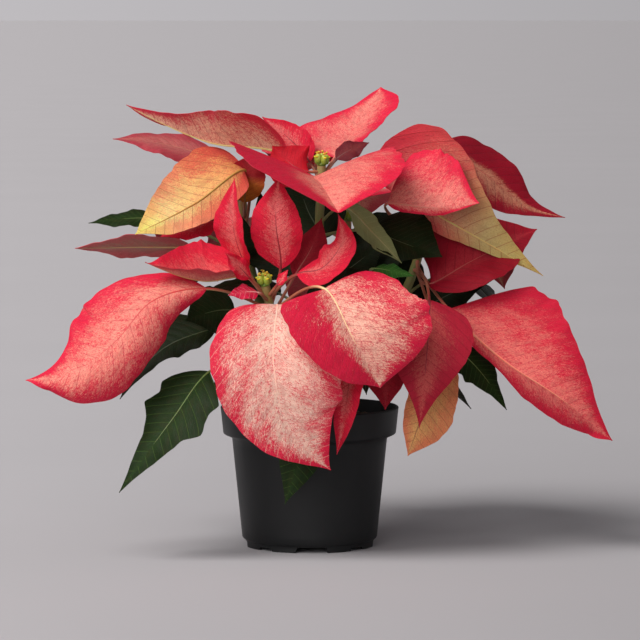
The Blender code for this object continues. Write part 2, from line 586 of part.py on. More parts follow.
def combined(name, body, shapes, operation, finish):
    """One object made from body by one Boolean with a collection of the other shapes."""
    made = add_object(name, body, finish)
    others = bpy.data.collections.new(name + "_others")
    for index, shape in enumerate(shapes):
        other = add_object(name + "_other_" + str(index), shape)
        bpy.context.scene.collection.objects.unlink(other)
        others.objects.link(other)
    join = made.modifiers.new("join", "BOOLEAN")
    join.operand_type = "COLLECTION"
    join.collection = others
    join.operation = operation
    join.solver = "EXACT"
    bpy.context.view_layer.update()
    seen = made.evaluated_get(bpy.context.evaluated_depsgraph_get())
    mesh = bpy.data.meshes.new_from_object(seen)
    made.modifiers.clear()
    made.data = mesh
    for other in list(others.objects):
        bpy.data.objects.remove(other)
    bpy.data.collections.remove(others)
    return made


def shade_round(made, degrees=35):
    made.data.shade_smooth()
    made.data.set_sharp_from_angle(angle=math.radians(degrees))


def make_pot():
    cutters = [drain_shape(2 * math.pi * (k + 0.5) / DRAIN_COUNT) for k in range(DRAIN_COUNT)]
    for count, width, height, first in FOOT_NOTCHES:
        cutters += [notch_shape(width, height, first + 360 * k / count) for k in range(count)]
    body = turned_shape(pot_profile(), POT_SIDES)
    pot = combined("pot", body, cutters, "DIFFERENCE", material("pot_plastic", (0.02, 0.021, 0.023), 0.42))
    shade_round(pot)


def make_soil():
    finish = material("potting_soil", (0.05, 0.032, 0.02), 0.95)
    soil = add_object("soil", turned_shape(soil_profile(), SOIL_SIDES), finish)
    shade_round(soil)


def branch_shapes():
    """The branches below the blooms, each up to where its bloom's own stem begins."""
    shapes = []
    for line in BRANCHES.values():
        length = chord_length(line)
        end = 1 - (HEAD_LENGTH + GAP) / length
        shapes.append(tube_shape(line, 0, end, STEM_RADIUS, 6))
    return shapes


def make_leafy_stem():
    trunk = tube_shape([(0, 0, TRUNK_FOOT), (0, 0, TRUNK_TOP)], 0, 1, TRUNK_RADIUS, 2)
    shapes = branch_shapes() + [leaf_shape(one) for one in GREEN_LEAVES]
    stem = combined("leafy_stem", trunk, shapes, "UNION", material("leaf_green", (0.05, 0.12, 0.04), 0.5))
    shade_round(stem)


def head_shape(branch):
    line = BRANCHES[branch]
    return tube_shape(line, 1 - HEAD_LENGTH / chord_length(line), 1, STEM_RADIUS, 3)


def make_bloom(branch, bracts, finish):
    shapes = [leaf_shape(one) for one in bracts]
    shade_round(combined("bloom_" + branch, head_shape(branch), shapes, "UNION", finish))


def make_cyathia(branch, finish):
    button, *cups = cup_shapes(branch)
    shade_round(combined("cyathia_" + branch, button, cups, "UNION", finish))


def main():
    for old in list(bpy.data.objects):
        bpy.data.objects.remove(old, do_unlink=True)
    make_pot()
    make_soil()
    make_leafy_stem()
    bract_red = material("bract_red", (0.62, 0.07, 0.09), 0.5)
    cyathium_green = material("cyathium_green", (0.45, 0.5, 0.06), 0.45)
    for branch, bracts in BLOOMS.items():
        make_bloom(branch, bracts, bract_red)
        make_cyathia(branch, cyathium_green)


if __name__ == "__main__":
    main()
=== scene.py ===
"""The looks of a poinsettia in a black nursery pot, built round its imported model.

Everything is in metres in the model's own frame: the origin is the centre of the pot's base, +Z is up, and
-Y is the side that the plant is seen from. Lengths of leaves and stems are listed in millimetres, like the
dimensions that they repeat, and turned into metres when a mesh is made.
"""

import math
from collections import namedtuple

import bmesh
import bpy
import numpy as np
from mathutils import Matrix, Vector, noise


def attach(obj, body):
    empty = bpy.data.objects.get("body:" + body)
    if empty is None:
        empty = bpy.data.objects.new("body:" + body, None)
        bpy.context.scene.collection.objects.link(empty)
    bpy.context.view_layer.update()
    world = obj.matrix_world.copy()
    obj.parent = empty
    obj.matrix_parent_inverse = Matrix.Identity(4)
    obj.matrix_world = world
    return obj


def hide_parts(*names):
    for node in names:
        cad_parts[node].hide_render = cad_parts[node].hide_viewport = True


MM = 0.001
# Edges that bend by more than this are drawn sharp.
SHARP_ANGLE = math.radians(50)

# Picture and camera.
PICTURE_PIXELS = 640
SENSOR = 36.0
FOCAL_PIXELS = 3729.0
CAMERA_AT = (0.007, -2.5, 0.355)
CAMERA_PITCH = 4.64

# Studio. The key stands to the left, in front and above, and the front light is a soft glow in the sky. A
# spread is the cosines of the angles from its middle where it begins and where it is full.
KEY_FROM = (-0.84, -0.62, 1.28)
KEY_STRENGTH = 2.8
KEY_ANGLE = 34.0
KEY_COLOUR = (1.0, 0.985, 0.96)
HORIZON_BAND = (0.01, 0.1)
HORIZON_WIDTH = (0.8, 0.95)
HORIZON_COLOUR = (0.55, 0.53, 0.55)
# The share of the horizon's light that is left at its right end.
HORIZON_FALL = 0.56
SKY_COLOUR = (0.18, 0.178, 0.184)
FRONT_LIGHT = (-0.3, -0.95, 0.24)
FRONT_SPREAD = (0.8, 0.97)
FRONT_COLOUR = (2.3, 2.28, 2.26)
FLOOR_RINGS = (1.0, 4.0, 16.0, 64.0, 400.0)
FLOOR_SIDES = 48
FLOOR_COLOUR = (0.44, 0.422, 0.44)
# The floor's colour is painted darker from left to right, a painted fall-off of the light, as seen from a
# point
# FLOOR_FAN metres before the pot. FLOOR_FALL is how much for each metre to the side at one metre from that
# point. Places nearer to it than FLOOR_LEAST_FAN count as that far, and there is no further change beyond
# FLOOR_WIDEST to a side.
FLOOR_FALL = 1.25
FLOOR_FAN = 2.5
FLOOR_LEAST_FAN = 1.9
FLOOR_WIDEST = 0.1

# The pot, in millimetres.
POT_HEIGHT = 94.0
RIM_RADIUS = 60.0
RIM_BAND = 18.0
RIM_TAPER = 1.8
RIM_ROUND = 1.0
SHOULDER_RADIUS = 52.3
SHOULDER_CHAMFER = 2.8
BODY_FOOT_RADIUS = 45.5
FOOT_RADIUS = 43.5
FOOT_HEIGHT = 4.5
FOOT_CHAMFER = 1.2
WALL = 1.4
GATE_RADIUS = 5.0
GATE_DRAFT = 1.0
DRAIN_COUNT = 4
DRAIN_RADIUS = 4.5
DRAIN_RING = 29.0
DRAIN_SIDES = 40
POT_SIDES = 288
BODY_STEPS = 13
RIM_STEPS = 6
POT_DARK = (0.0052, 0.0054, 0.0058)
POT_DUSTY = (0.0085, 0.0088, 0.0094)
# Notches in the foot: their number, width in degrees, height and first place in degrees.
FOOT_NOTCHES = [(4, 27.0, 3.8, -88.0), (4, 15.0, 2.0, -43.0)]

# Soil. Its top rises in a low mound towards the stem, and SOIL_BODY has rows of radius and height below it.
SOIL_TOP = 85.0
SOIL_RADIUS = 57.6
SOIL_ROUGHNESS = 1.6
SOIL_MOUND = 1.4
SOIL_MOUND_WIDTH = 16
SOIL_LOWEST = -2.2
SOIL_HIGHEST = 1.9
SOIL_RINGS = 34
SOIL_SIDES = 120
SOIL_BODY = ((SOIL_RADIUS - 1.5, 78.0), (50.0, 74.0), (43.8, 6.3))
SOIL_DARK = (0.012, 0.008, 0.005)
SOIL_PALE = (0.07, 0.042, 0.024)
FIBRE_COLOUR = (0.13, 0.085, 0.05)
CRUMB_SEED = 5
CRUMB_COUNT = 420
# Radii of the crumbs, which are then made up to half as small.
CRUMB_SIZES = (0.8, 2.6)

# Stems.
TRUNK_RADIUS = 5.2
TRUNK_FOOT = 60.0
TRUNK_TOP = 112.0
STEM_RADIUS = 3.0
HEAD_LENGTH = 36.0
STEM_STEP = 2.2
STEM_SIDES = 20
# A stem swells slightly where leaves grow or grew: how far apart, how much and over what share of that.
SWELLING_SPACING = 13.0
SWELLING = 0.05
SWELLING_WIDTH = 0.12
WOODY = (0.17, 0.11, 0.05)
GREEN_STEM = (0.16, 0.2, 0.05)
TENDER_STEM = (0.3, 0.24, 0.08)

# Cyathia: rows of radius and height of the knob that they stand on and of a cup.
GAP = 0.3
KNOB_LINE = [(3.1, 0.0), (3.3, 0.8), (2.8, 2.0), (1.6, 3.3), (0.3, 3.8)]
CUP_LINE = [(0.3, 0.0), (1.2, 0.3), (1.85, 1.5), (2.1, 3.4), (1.8, 5.2), (1.25, 6.4), (0.85, 6.7), (0.5, 6.1)]
CUP_COUNT = 5
CUP_RING = 3.1
CUP_TURN = 0.15
CUP_LIFTS = (0.4, 1.2)
GLAND_REACH = 1.6
GLAND_HEIGHT = 4.2
GLAND_RADIUS = 1.25
GLAND_THICKNESS = 1.6
GLAND_DENT = 0.55
BLOB_STEPS = 8
STAMENS = 5
STAMEN_RADIUS = 0.16
STAMEN_LENGTHS = (1.2, 2.6)
STAMEN_LEANS = (0.1, 0.55)
STAMEN_FOOT = 5.9
ANTHER_RADIUS = 0.42
ANTHER_HEIGHT = 0.7
ANTHER_STRETCH = (1.5, 0.8)
CYATHIA_SEED = 40
CUP_SIDES = 24
GLAND_SIDES = 18
STAMEN_SIDES = 8
ANTHER_SIDES = 10
CUP_LOW = (0.16, 0.27, 0.03)
CUP_HIGH = (0.5, 0.52, 0.06)
GLAND_COLOUR = (0.8, 0.6, 0.03)
STAMEN_COLOUR = (0.7, 0.1, 0.03)
ANTHER_COLOUR = (0.85, 0.5, 0.04)

# Leaves and bracts.
PETIOLE_RADIUS = 1.15
RIB_TIP_RADIUS = 0.16
BLADE_THICKNESS = 0.5
EDGE_THICKNESS = 0.3
TIP_HALF_WIDTH = 0.22
OPEN_WIDTH = 9.0
SIDE_PHASE = 0.27
ALONG_STEP = 1.35
ACROSS_STEP = 2.0
# The margin runs unevenly in two waves: their share of the half-width and their number along the blade.
MARGIN_WAVES = ((0.012, 5.3), (0.009, 11.7))
# Finer waves lie on a blade's own: their share of its height and their number along the blade.
FINE_HEIGHT = 0.28
FINE_COUNT = 7.1
# Veins leave the midrib one after another and bend towards the tip. Their spacing follows the blade's length.
VEIN_SPACING = 7.5
VEIN_LEAN = 0.62
VEIN_BEND = 0.004
VEIN_LENGTH = 95
VEIN_SPACING_LIMITS = (0.45, 1.15)
# A blade is quilted: it swells between its veins, less so near its midrib, near its margin and where narrow.
LEAF_QUILT = 0.5
BRACT_QUILT = 0.32
QUILT_ROUNDNESS = 0.7
QUILT_LEVEL = 0.6
MIDRIB_FADE = 3
MARGIN_FADE = 5
NARROW_FADE = 12
# The petiole widens at its foot and narrows to its neck. A blade's rib is thinner where the blade is narrow.
PETIOLE_FLARE = 1.35
PETIOLE_NECK = 0.8
PETIOLE_ROWS = 14
RIB_ROWS = 46
RIB_END = 0.995
RIB_FULL_WIDTH = 14
RIB_SIDES = 10
# A blade is as pale at a point as HEART_PALENESS less how far out the point is, counted in the heart's reach.
# That reach is at least LEAST_EXTENT of the half-width, and the result stays within PALE_LIMITS.
HEART_PALENESS = 1.25
LEAST_EXTENT = 0.05
PALE_LIMITS = (-0.6, 1)
# However far from its heart, a blade stays this near to breaking into its heart's colour.
LEAST_PALE = -0.42
# Blades before this y are drawn back by this share of how far they stand before it.
FRONT_START = -108.0
FRONT_GIVE = 0.22

BRANCHES = {
    "front": [(0, 0, 98), (-8, -20, 122), (-22, -40, 150), (-29, -50, 179)],
    "top": [(0, 0, 100), (3, 2, 150), (6, 3, 205), (8, 0, 256)],
    "left": [(0, 0, 95), (-18, 20, 125), (-38, 40, 175), (-46, 45, 230)],
    "right": [(0, 0, 97), (28, 6, 122), (62, 14, 165), (79, 17, 214)],
    "back": [(0, 0, 102), (8, 30, 132), (22, 62, 172), (26, 76, 214)],
}

# Half-width of a blade from its base, 0, to its tip, 1, as a share of its widest. A row with three numbers
# gives the left and the right half.
FORMS = {
    "ovate": [(0, 0.05), (0.08, 0.46), (0.22, 0.86), (0.4, 1), (0.6, 0.88), (0.81, 0.42), (1, 0)],
    "lance": [(0, 0.06), (0.1, 0.5), (0.27, 0.92), (0.45, 1), (0.65, 0.78), (0.83, 0.4), (1, 0)],
    "spade": [
        (0, 0.05), (0.07, 0.5), (0.19, 0.92), (0.33, 1), (0.5, 0.82), (0.67, 0.5), (0.82, 0.22), (1, 0),
    ],
    "blunt": [
        (0, 0.05), (0.08, 0.45), (0.22, 0.8), (0.42, 0.98), (0.62, 1), (0.78, 0.8), (0.91, 0.34), (1, 0),
    ],
    "toothed": [
        (0, 0.06), (0.09, 0.56), (0.2, 0.94), (0.28, 0.82), (0.41, 1), (0.49, 0.7), (0.66, 0.42),
        (0.84, 0.18), (1, 0),
    ],
    "hanging": [
        (0, 0.1, 0.1), (0.05, 0.45, 0.45), (0.18, 0.8, 0.84), (0.33, 0.95, 1), (0.47, 1, 0.95),
        (0.6, 0.98, 0.78), (0.73, 0.84, 0.5), (0.87, 0.46, 0.2), (1, 0, 0),
    ],
    "wide_left": [
        (0, 0.1, 0.1), (0.05, 0.54, 0.66), (0.18, 0.78, 0.96), (0.34, 0.9, 0.97), (0.57, 1, 0.76),
        (0.8, 0.88, 0.44), (0.92, 0.56, 0.16), (1, 0, 0),
    ],
    "sweeping": [
        (0, 0.05, 0.05), (0.1, 0.4, 0.5), (0.22, 0.66, 0.7), (0.36, 0.86, 0.88), (0.5, 0.94, 1),
        (0.65, 1, 0.97), (0.8, 0.68, 0.58), (0.9, 0.28, 0.2), (1, 0, 0),
    ],
    "leaning": [
        (0, 0.05, 0.05), (0.07, 0.5, 0.25), (0.2, 0.9, 0.5), (0.34, 1, 0.6), (0.5, 0.94, 0.7),
        (0.65, 0.64, 0.8), (0.8, 0.25, 1), (0.92, 0.1, 0.8), (1, 0, 0),
    ],
    "facing": [
        (0, 0.06, 0.06), (0.07, 0.55, 0.5), (0.18, 0.85, 0.94), (0.33, 0.98, 1), (0.52, 1, 1),
        (0.7, 0.98, 0.94), (0.85, 0.84, 0.62), (0.94, 0.5, 0.28), (1, 0.02, 0.01),
    ],
    "shouldered": [
        (0, 0.05, 0.05), (0.06, 0.62, 0.5), (0.12, 0.86, 0.8), (0.22, 1, 0.95), (0.36, 1, 1),
        (0.49, 0.94, 0.95), (0.63, 0.78, 0.85), (0.79, 0.5, 0.6), (0.92, 0.2, 0.2), (1, 0, 0),
    ],
    "tapering": [
        (0, 0.05, 0.05), (0.07, 0.6, 0.2), (0.19, 0.95, 0.36), (0.36, 1, 0.55), (0.55, 0.78, 0.95),
        (0.74, 0.45, 1), (0.88, 0.16, 0.6), (1, 0, 0),
    ],
    "deep": [
        (0, 0.1, 0.1), (0.05, 0.4, 0.62), (0.12, 0.7, 0.88), (0.21, 0.9, 0.96), (0.31, 1, 0.86),
        (0.46, 0.9, 0.6), (0.62, 0.6, 0.33), (0.8, 0.3, 0.14), (1, 0, 0),
    ],
    "square": [
        (0, 0.1, 0.05), (0.05, 0.6, 0.4), (0.14, 0.86, 0.8), (0.4, 1, 1), (0.61, 0.9, 0.85),
        (0.8, 0.76, 0.5), (0.88, 0.46, 0.3), (0.94, 0.18, 0.12), (1, 0, 0),
    ],
}

# One leaf or bract, as the model has it. look names its colours, and the rest is what gives its shape: the
# branch, how far its root is below the bloom, the form, the half-widths, the midrib's path, the way that the
# upper side faces at the base and at the tip, the folds at the midrib, the further curl, and the waves.
Leaf = namedtuple("Leaf", "name branch rise form half path face face_tip fold curl wave look")


def leaf(name, branch, rise, form, half, path, face, face_tip=None, fold=(8, 8), curl=(-15, -15),
         wave=(1.0, 2.5, 0), look="red"):
    return Leaf(name, branch, rise, form, half, path, face, face_tip or face, fold, curl, wave, look)


BLOOMS = {
    "front": [
        leaf("f1", "front", 16, "ovate", (17, 17), [(-19, -48, 190), (-22, -56, 222), (-20, -44, 251)],
             (0, -1, 0.1), fold=(12, 12)),
        leaf("f2a", "front", 14, "ovate", (15, 15), [(-41, -46, 190), (-50, -56, 220), (-49, -60, 250)],
             (-0.7, -0.7, 0.1), fold=(25, 25)),
        leaf("f2b", "front", 11, "ovate", (14, 31), [(-40, -54, 184), (-69, -62, 183), (-107, -75, 196)],
             (0, 0, 1), fold=(38, 62), look="scarlet"),
        leaf("f3", "front", 13, "ovate", (7, 7), [(-39, -58, 184), (-55, -69, 202)], (0.3, -0.8, 0.4)),
        leaf("f4", "front", 12, "lance", (7, 7), [(-34, -60, 175), (-53, -71, 174)], (0, -0.7, 0.7),
             look="pale_veined"),
        leaf("f5", "front", 8, "lance", (3.5, 3.5), [(-21, -58, 180), (-14, -61, 190)], (-0.3, -0.8, 0.3)),
        leaf("f6", "front", 10, "ovate", (13, 16),
             [(-8, -56, 187), (8, -64, 191), (20, -64, 205), (19, -50, 226)],
             (-0.1, -0.5, 0.85), (-0.85, -0.5, 0), fold=(14, 6)),
        leaf("f7", "front", 18, "sweeping", (32, 42),
             [(-68, -65, 178), (-102, -82, 171), (-127, -90, 144), (-153, -88, 125), (-185, -78, 119)],
             (-0.3, -0.6, 0.75), (-0.1, -0.7, 0.7), fold=(-10, 5), curl=(-95, -10), look="blush"),
        leaf("f8", "front", 24, "hanging", (42, 41),
             [(-21, -62, 167), (-23, -96, 130), (-11, -95, 85), (14, -86, 61)],
             (0.05, -0.7, 0.7), (0, -1, -0.1), look="creamy"),
        leaf("f9", "front", 20, "wide_left", (54, 42), [(10, -82, 179), (28, -104, 149), (46, -98, 116)],
             (0.1, -0.75, 0.65), (0.1, -1, 0.1), fold=(12, 22), look="half_creamy"),
        leaf("f10", "front", 30, "lance", (13, 10), [(28, -66, 150), (25, -76, 110), (18, -76, 70)],
             (-0.3, -0.9, 0.1), fold=(35, 35)),
        leaf("f11", "front", 34, "ovate", (14, 14), [(45, -47, 136), (50, -54, 97)], (0, -0.9, 0.3),
             look="crimson"),
        leaf("f12", "front", 22, "ovate", (11, 11), [(-10, -36, 184), (2, -30, 204), (8, -24, 222)],
             (0, -0.9, 0.3), look="crimson"),
    ],
    "top": [
        leaf("t1", "top", 9, "leaning", (46, 22), [(17, 12, 261), (29, 44, 276), (49, 76, 307)],
             (-0.2, -0.48, 0.85), fold=(4, 10), look="rosy"),
        leaf("t2", "top", 6, "facing", (56, 65), [(4, -12, 249), (8, -50, 245), (19, -89, 229)],
             (0, -0.1, 1), fold=(30, 25), curl=(-14, 0), wave=(0.6, 2, 0), look="half_rosy"),
        leaf("t4", "top", 4, "ovate", (18, 18), [(-1, -3, 252), (-25, 6, 269)], (-0.1, -0.8, 0.6),
             look="deep_red"),
        leaf("t5", "top", 12, "ovate", (13, 13), [(0, 9, 258), (-32, 22, 288)], (0, -0.8, 0.6)),
        leaf("t6", "top", 11, "ovate", (8, 8), [(18, 4, 260), (40, 9, 271)], (0, -0.7, 0.7), look="dark"),
        leaf("t7", "top", 15, "spade", (34, 24), [(-15, 8, 262), (-68, 20, 271), (-124, 26, 296)],
             (0, 0.75, 0.65), fold=(5, 55), look="peach_under"),
        leaf("t8", "top", 18, "ovate", (34, 34), [(4, 22, 256), (0, 58, 264), (-6, 98, 246)], (0, 0.1, 1),
             look="mottled"),
    ],
    "left": [
        leaf("l2", "left", 24, "ovate", (28, 28), [(-65, 56, 256), (-100, 60, 268), (-135, 56, 272)],
             (0, -0.25, 0.97), look="dusky_pink"),
        leaf("l3", "left", 20, "shouldered", (31, 17), [(-44, 18, 252), (-76, -4, 231), (-116, -22, 211)],
             (-0.1, 0.8, -0.5), look="yellow_under"),
        leaf("l4", "left", 27, "ovate", (26, 26), [(-81, 10, 201), (-118, 6, 201), (-158, 6, 200)],
             (0, 0.35, 0.93), look="purple_under"),
        leaf("l6", "left", 14, "ovate", (16, 16), [(-66, 20, 218), (-100, 2, 208)], (-0.2, -0.6, 0.75)),
        leaf("l7", "left", 12, "blunt", (13, 13), [(-44, 27, 230), (-43, 20, 246), (-41, 17, 262)],
             (0, -1, 0.1), look="ember"),
        leaf("l8", "left", 17, "ovate", (34, 34), [(-62, 66, 226), (-84, 94, 222), (-104, 114, 190)],
             (-0.2, 0.3, 0.9), look="mottled"),
    ],
    "right": [
        leaf("r1", "right", 30, "spade", (30, 28), [(79, -50, 169), (76, -70, 125), (72, -70, 87)],
             (0.1, -0.7, 0.7), (0, -1, 0), look="dusky"),
        leaf("r2", "right", 28, "blunt", (12, 21), [(82, -28, 141), (76, -46, 100), (65, -50, 66)],
             (0.1, 0.9, 0.2), look="tan_under"),
        leaf("r4", "right", 26, "tapering", (60, 19),
             [(93, -25, 161), (130, -45, 128), (165, -50, 105), (201, -40, 75)],
             (0.1, -0.85, 0.5), fold=(4, -60), look="rose"),
        leaf("r5", "right", 23, "ovate", (46, 25), [(80, -22, 178), (107, -15, 192), (153, 5, 213)],
             (-0.1, -0.6, 0.8), fold=(20, 5), look="crimson"),
        leaf("r6", "right", 8, "deep", (12, 58), [(56, 5, 238), (97, -15, 217), (156, -15, 183)],
             (0.35, 0.9, 0.25), look="pink_olive_under"),
        leaf("r8", "right", 10, "square", (44, 6), [(52, -25, 232), (83, -40, 230), (112, -45, 233)],
             (0, -0.9, 0.43), fold=(6, -60), look="rosy"),
        leaf("r9", "right", 20, "spade", (29, 30),
             [(89, 45, 265), (120, 48, 248), (149, 44, 226), (174, 38, 219)],
             (0.1, -0.55, 0.8), look="crimson_tan"),
        leaf("r10", "right", 14, "ovate", (32, 32), [(98, 44, 208), (118, 74, 198), (136, 98, 166)],
             (0.2, 0.3, 0.9), look="crimson"),
    ],
    "back": [
        leaf("b1", "back", 12, "ovate", (30, 30), [(30, 100, 228), (34, 135, 232), (36, 170, 208)],
             (0, 0.2, 1), look="mottled"),
        leaf("b2", "back", 14, "blunt", (38, 38), [(0, 92, 212), (-34, 122, 206), (-66, 142, 168)],
             (-0.2, 0.4, 0.9), look="creamy"),
        leaf("b3", "back", 16, "ovate", (36, 36), [(54, 94, 208), (88, 118, 200), (122, 136, 160)],
             (0.3, 0.4, 0.9), look="mottled"),
        leaf("b4", "back", 26, "ovate", (38, 38), [(24, 106, 188), (20, 134, 160), (14, 142, 118)],
             (0, 0.8, 0.6), look="creamy"),
    ],
}

GREEN_LEAVES = [
    leaf("d1", "front", 62, "toothed", (25, 25), [(-66, -64, 123), (-89, -80, 94), (-124, -85, 46)],
         (-0.2, -0.7, 0.65), look="green"),
    leaf("d2", "left", 86, "toothed", (15, 26), [(-63, -18, 148), (-96, -28, 136), (-126, -34, 102)],
         (-0.1, -0.6, 0.8), look="deep_green"),
    leaf("d3", "front", 44, "ovate", (18, 18), [(-50, -22, 160), (-82, -42, 155)], (0, -0.9, 0.4),
         look="deep_green"),
    leaf("d8", "front", 52, "ovate", (12, 12), [(-32, -30, 152), (-56, -42, 138)], (0, -0.9, 0.4),
         look="olive"),
    leaf("d4", "right", 78, "toothed", (16, 16), [(99, -6, 132), (132, -16, 93)], (0.2, -0.7, 0.7),
         look="green"),
    leaf("d5", "front", 84, "ovate", (16, 14), [(-2, -63, 106), (-6, -72, 74), (-16, -74, 37)],
         (0, -1, 0.2), look="green"),
    leaf("g1", "top", 40, "ovate", (10, 10), [(24, -18, 229), (42, -32, 213), (61, -40, 193)],
         (0.2, 0.8, 0.5), look="olive_under"),
    leaf("g2", "top", 48, "ovate", (29, 14), [(40, -20, 213), (64, -30, 205), (88, -38, 197)],
         (0.1, -0.7, 0.6), look="deep_green"),
    leaf("g3", "right", 50, "lance", (6, 7), [(43, -34, 189), (69, -48, 185)], (0, -0.7, 0.7),
         look="bright_green"),
    leaf("l5", "left", 40, "ovate", (11, 11), [(-99, 42, 217), (-151, 42, 215)], (0, -0.45, 0.9),
         look="green"),
]

# Inner leaves, all of one near-black green, a painted shade for the dark inside of the plant: name, branch,
# depth below the bloom, form, half-width, path and face.
INNER_LEAVES = [
    ("e1", "left", 66, "toothed", 26, [(-60, 34, 168), (-98, 46, 158), (-134, 52, 132)], (0, -0.2, 1)),
    ("e2", "right", 64, "toothed", 26, [(66, 34, 160), (100, 46, 154), (132, 54, 132)], (0, -0.2, 1)),
    ("e4", "top", 62, "ovate", 24, [(30, 24, 190), (54, 34, 206), (84, 44, 210)], (0, -0.7, 0.7)),
    ("e5", "left", 52, "ovate", 13, [(-46, 22, 190), (-46, 8, 206), (-45, -8, 222)], (0, -0.95, 0.3)),
    ("e7", "front", 58, "ovate", 12, [(-2, -34, 168), (26, -36, 180), (56, -38, 184)], (0, -0.7, 0.7)),
    ("e8", "back", 64, "toothed", 30, [(24, 66, 130), (34, 104, 122), (40, 134, 88)], (0, 0.5, 0.85)),
    ("e9", "back", 80, "toothed", 28, [(-16, 50, 126), (-48, 84, 116), (-72, 106, 82)], (-0.3, 0.4, 0.85)),
    ("e10", "right", 92, "toothed", 26, [(48, 30, 118), (84, 54, 110), (112, 76, 84)], (0.3, 0.2, 0.9)),
    ("e11", "top", 66, "toothed", 24, [(-8, 18, 186), (-26, 26, 206), (-34, 28, 238)], (0, -1, 0.2)),
    ("e12", "top", 84, "toothed", 22, [(14, 8, 178), (30, 16, 188), (52, 20, 206)], (0, -0.9, 0.4)),
    ("e14", "right", 58, "toothed", 20, [(76, 28, 158), (98, 34, 168), (124, 36, 176)], (0, -0.8, 0.6)),
    ("e15", "top", 54, "ovate", 26, [(8, 14, 206), (-2, 30, 226), (-10, 40, 252)], (0, -1, 0.2)),
    ("e16", "right", 72, "ovate", 18, [(52, 22, 158), (60, 32, 176), (67, 38, 206)], (0, -1, 0.2)),
    ("e17", "left", 62, "ovate", 26, [(-54, 62, 178), (-82, 82, 176), (-104, 98, 150)], (-0.4, 0.2, 0.9)),
    ("e18", "right", 54, "ovate", 26, [(88, 40, 178), (114, 56, 172), (134, 64, 146)], (0.4, 0.1, 0.9)),
    ("e19", "top", 118, "ovate", 22, [(24, 18, 128), (46, 24, 130), (66, 26, 108)], (0.3, -0.2, 0.9)),
    ("e20", "top", 110, "ovate", 20, [(-20, 22, 168), (-46, 26, 174), (-74, 26, 166)], (-0.3, -0.2, 0.9)),
]
GREEN_LEAVES += [
    leaf(name, branch, rise, form, (wide, wide), path, face, look="deep_green")
    for name, branch, rise, form, wide, path, face in INNER_LEAVES
]

# Colours of one side of a blade: at its margin, in its heart, along its veins and along its midrib. reach is
# how far the heart reaches from the midrib to the margin, on the left and on the right half. mottle is how
# strongly the two colours break into each other, and stops, if any, are shares of the length with the margin
# and heart colours there, which then take the place of the first two.
Side = namedtuple("Side", "rim heart vein rib reach mottle stops")


def side(rim, heart, vein, rib, reach=(0.5, 0.5), mottle=0.5, stops=()):
    return Side(rim, heart, vein, rib, reach, mottle, stops)


PLAIN_UNDER = side((0.52, 0.07, 0.085), (0.66, 0.27, 0.2), (0.4, 0.06, 0.07), (0.5, 0.32, 0.14), (0.6, 0.6))
RED_TOP = side(
    (0.68, 0.01, 0.04), (0.78, 0.17, 0.16), (0.4, 0.006, 0.025), (0.26, 0.008, 0.018), (0.5, 0.5), 0.95,
)
RED_UNDER = side((0.6, 0.03, 0.06), (0.74, 0.2, 0.17), (0.44, 0.02, 0.04), (0.5, 0.16, 0.1), (0.6, 0.6), 0.8)
GREEN_UNDER = side((0.1, 0.13, 0.065), (0.13, 0.17, 0.085), (0.2, 0.25, 0.12), (0.28, 0.33, 0.14), mottle=0.2)

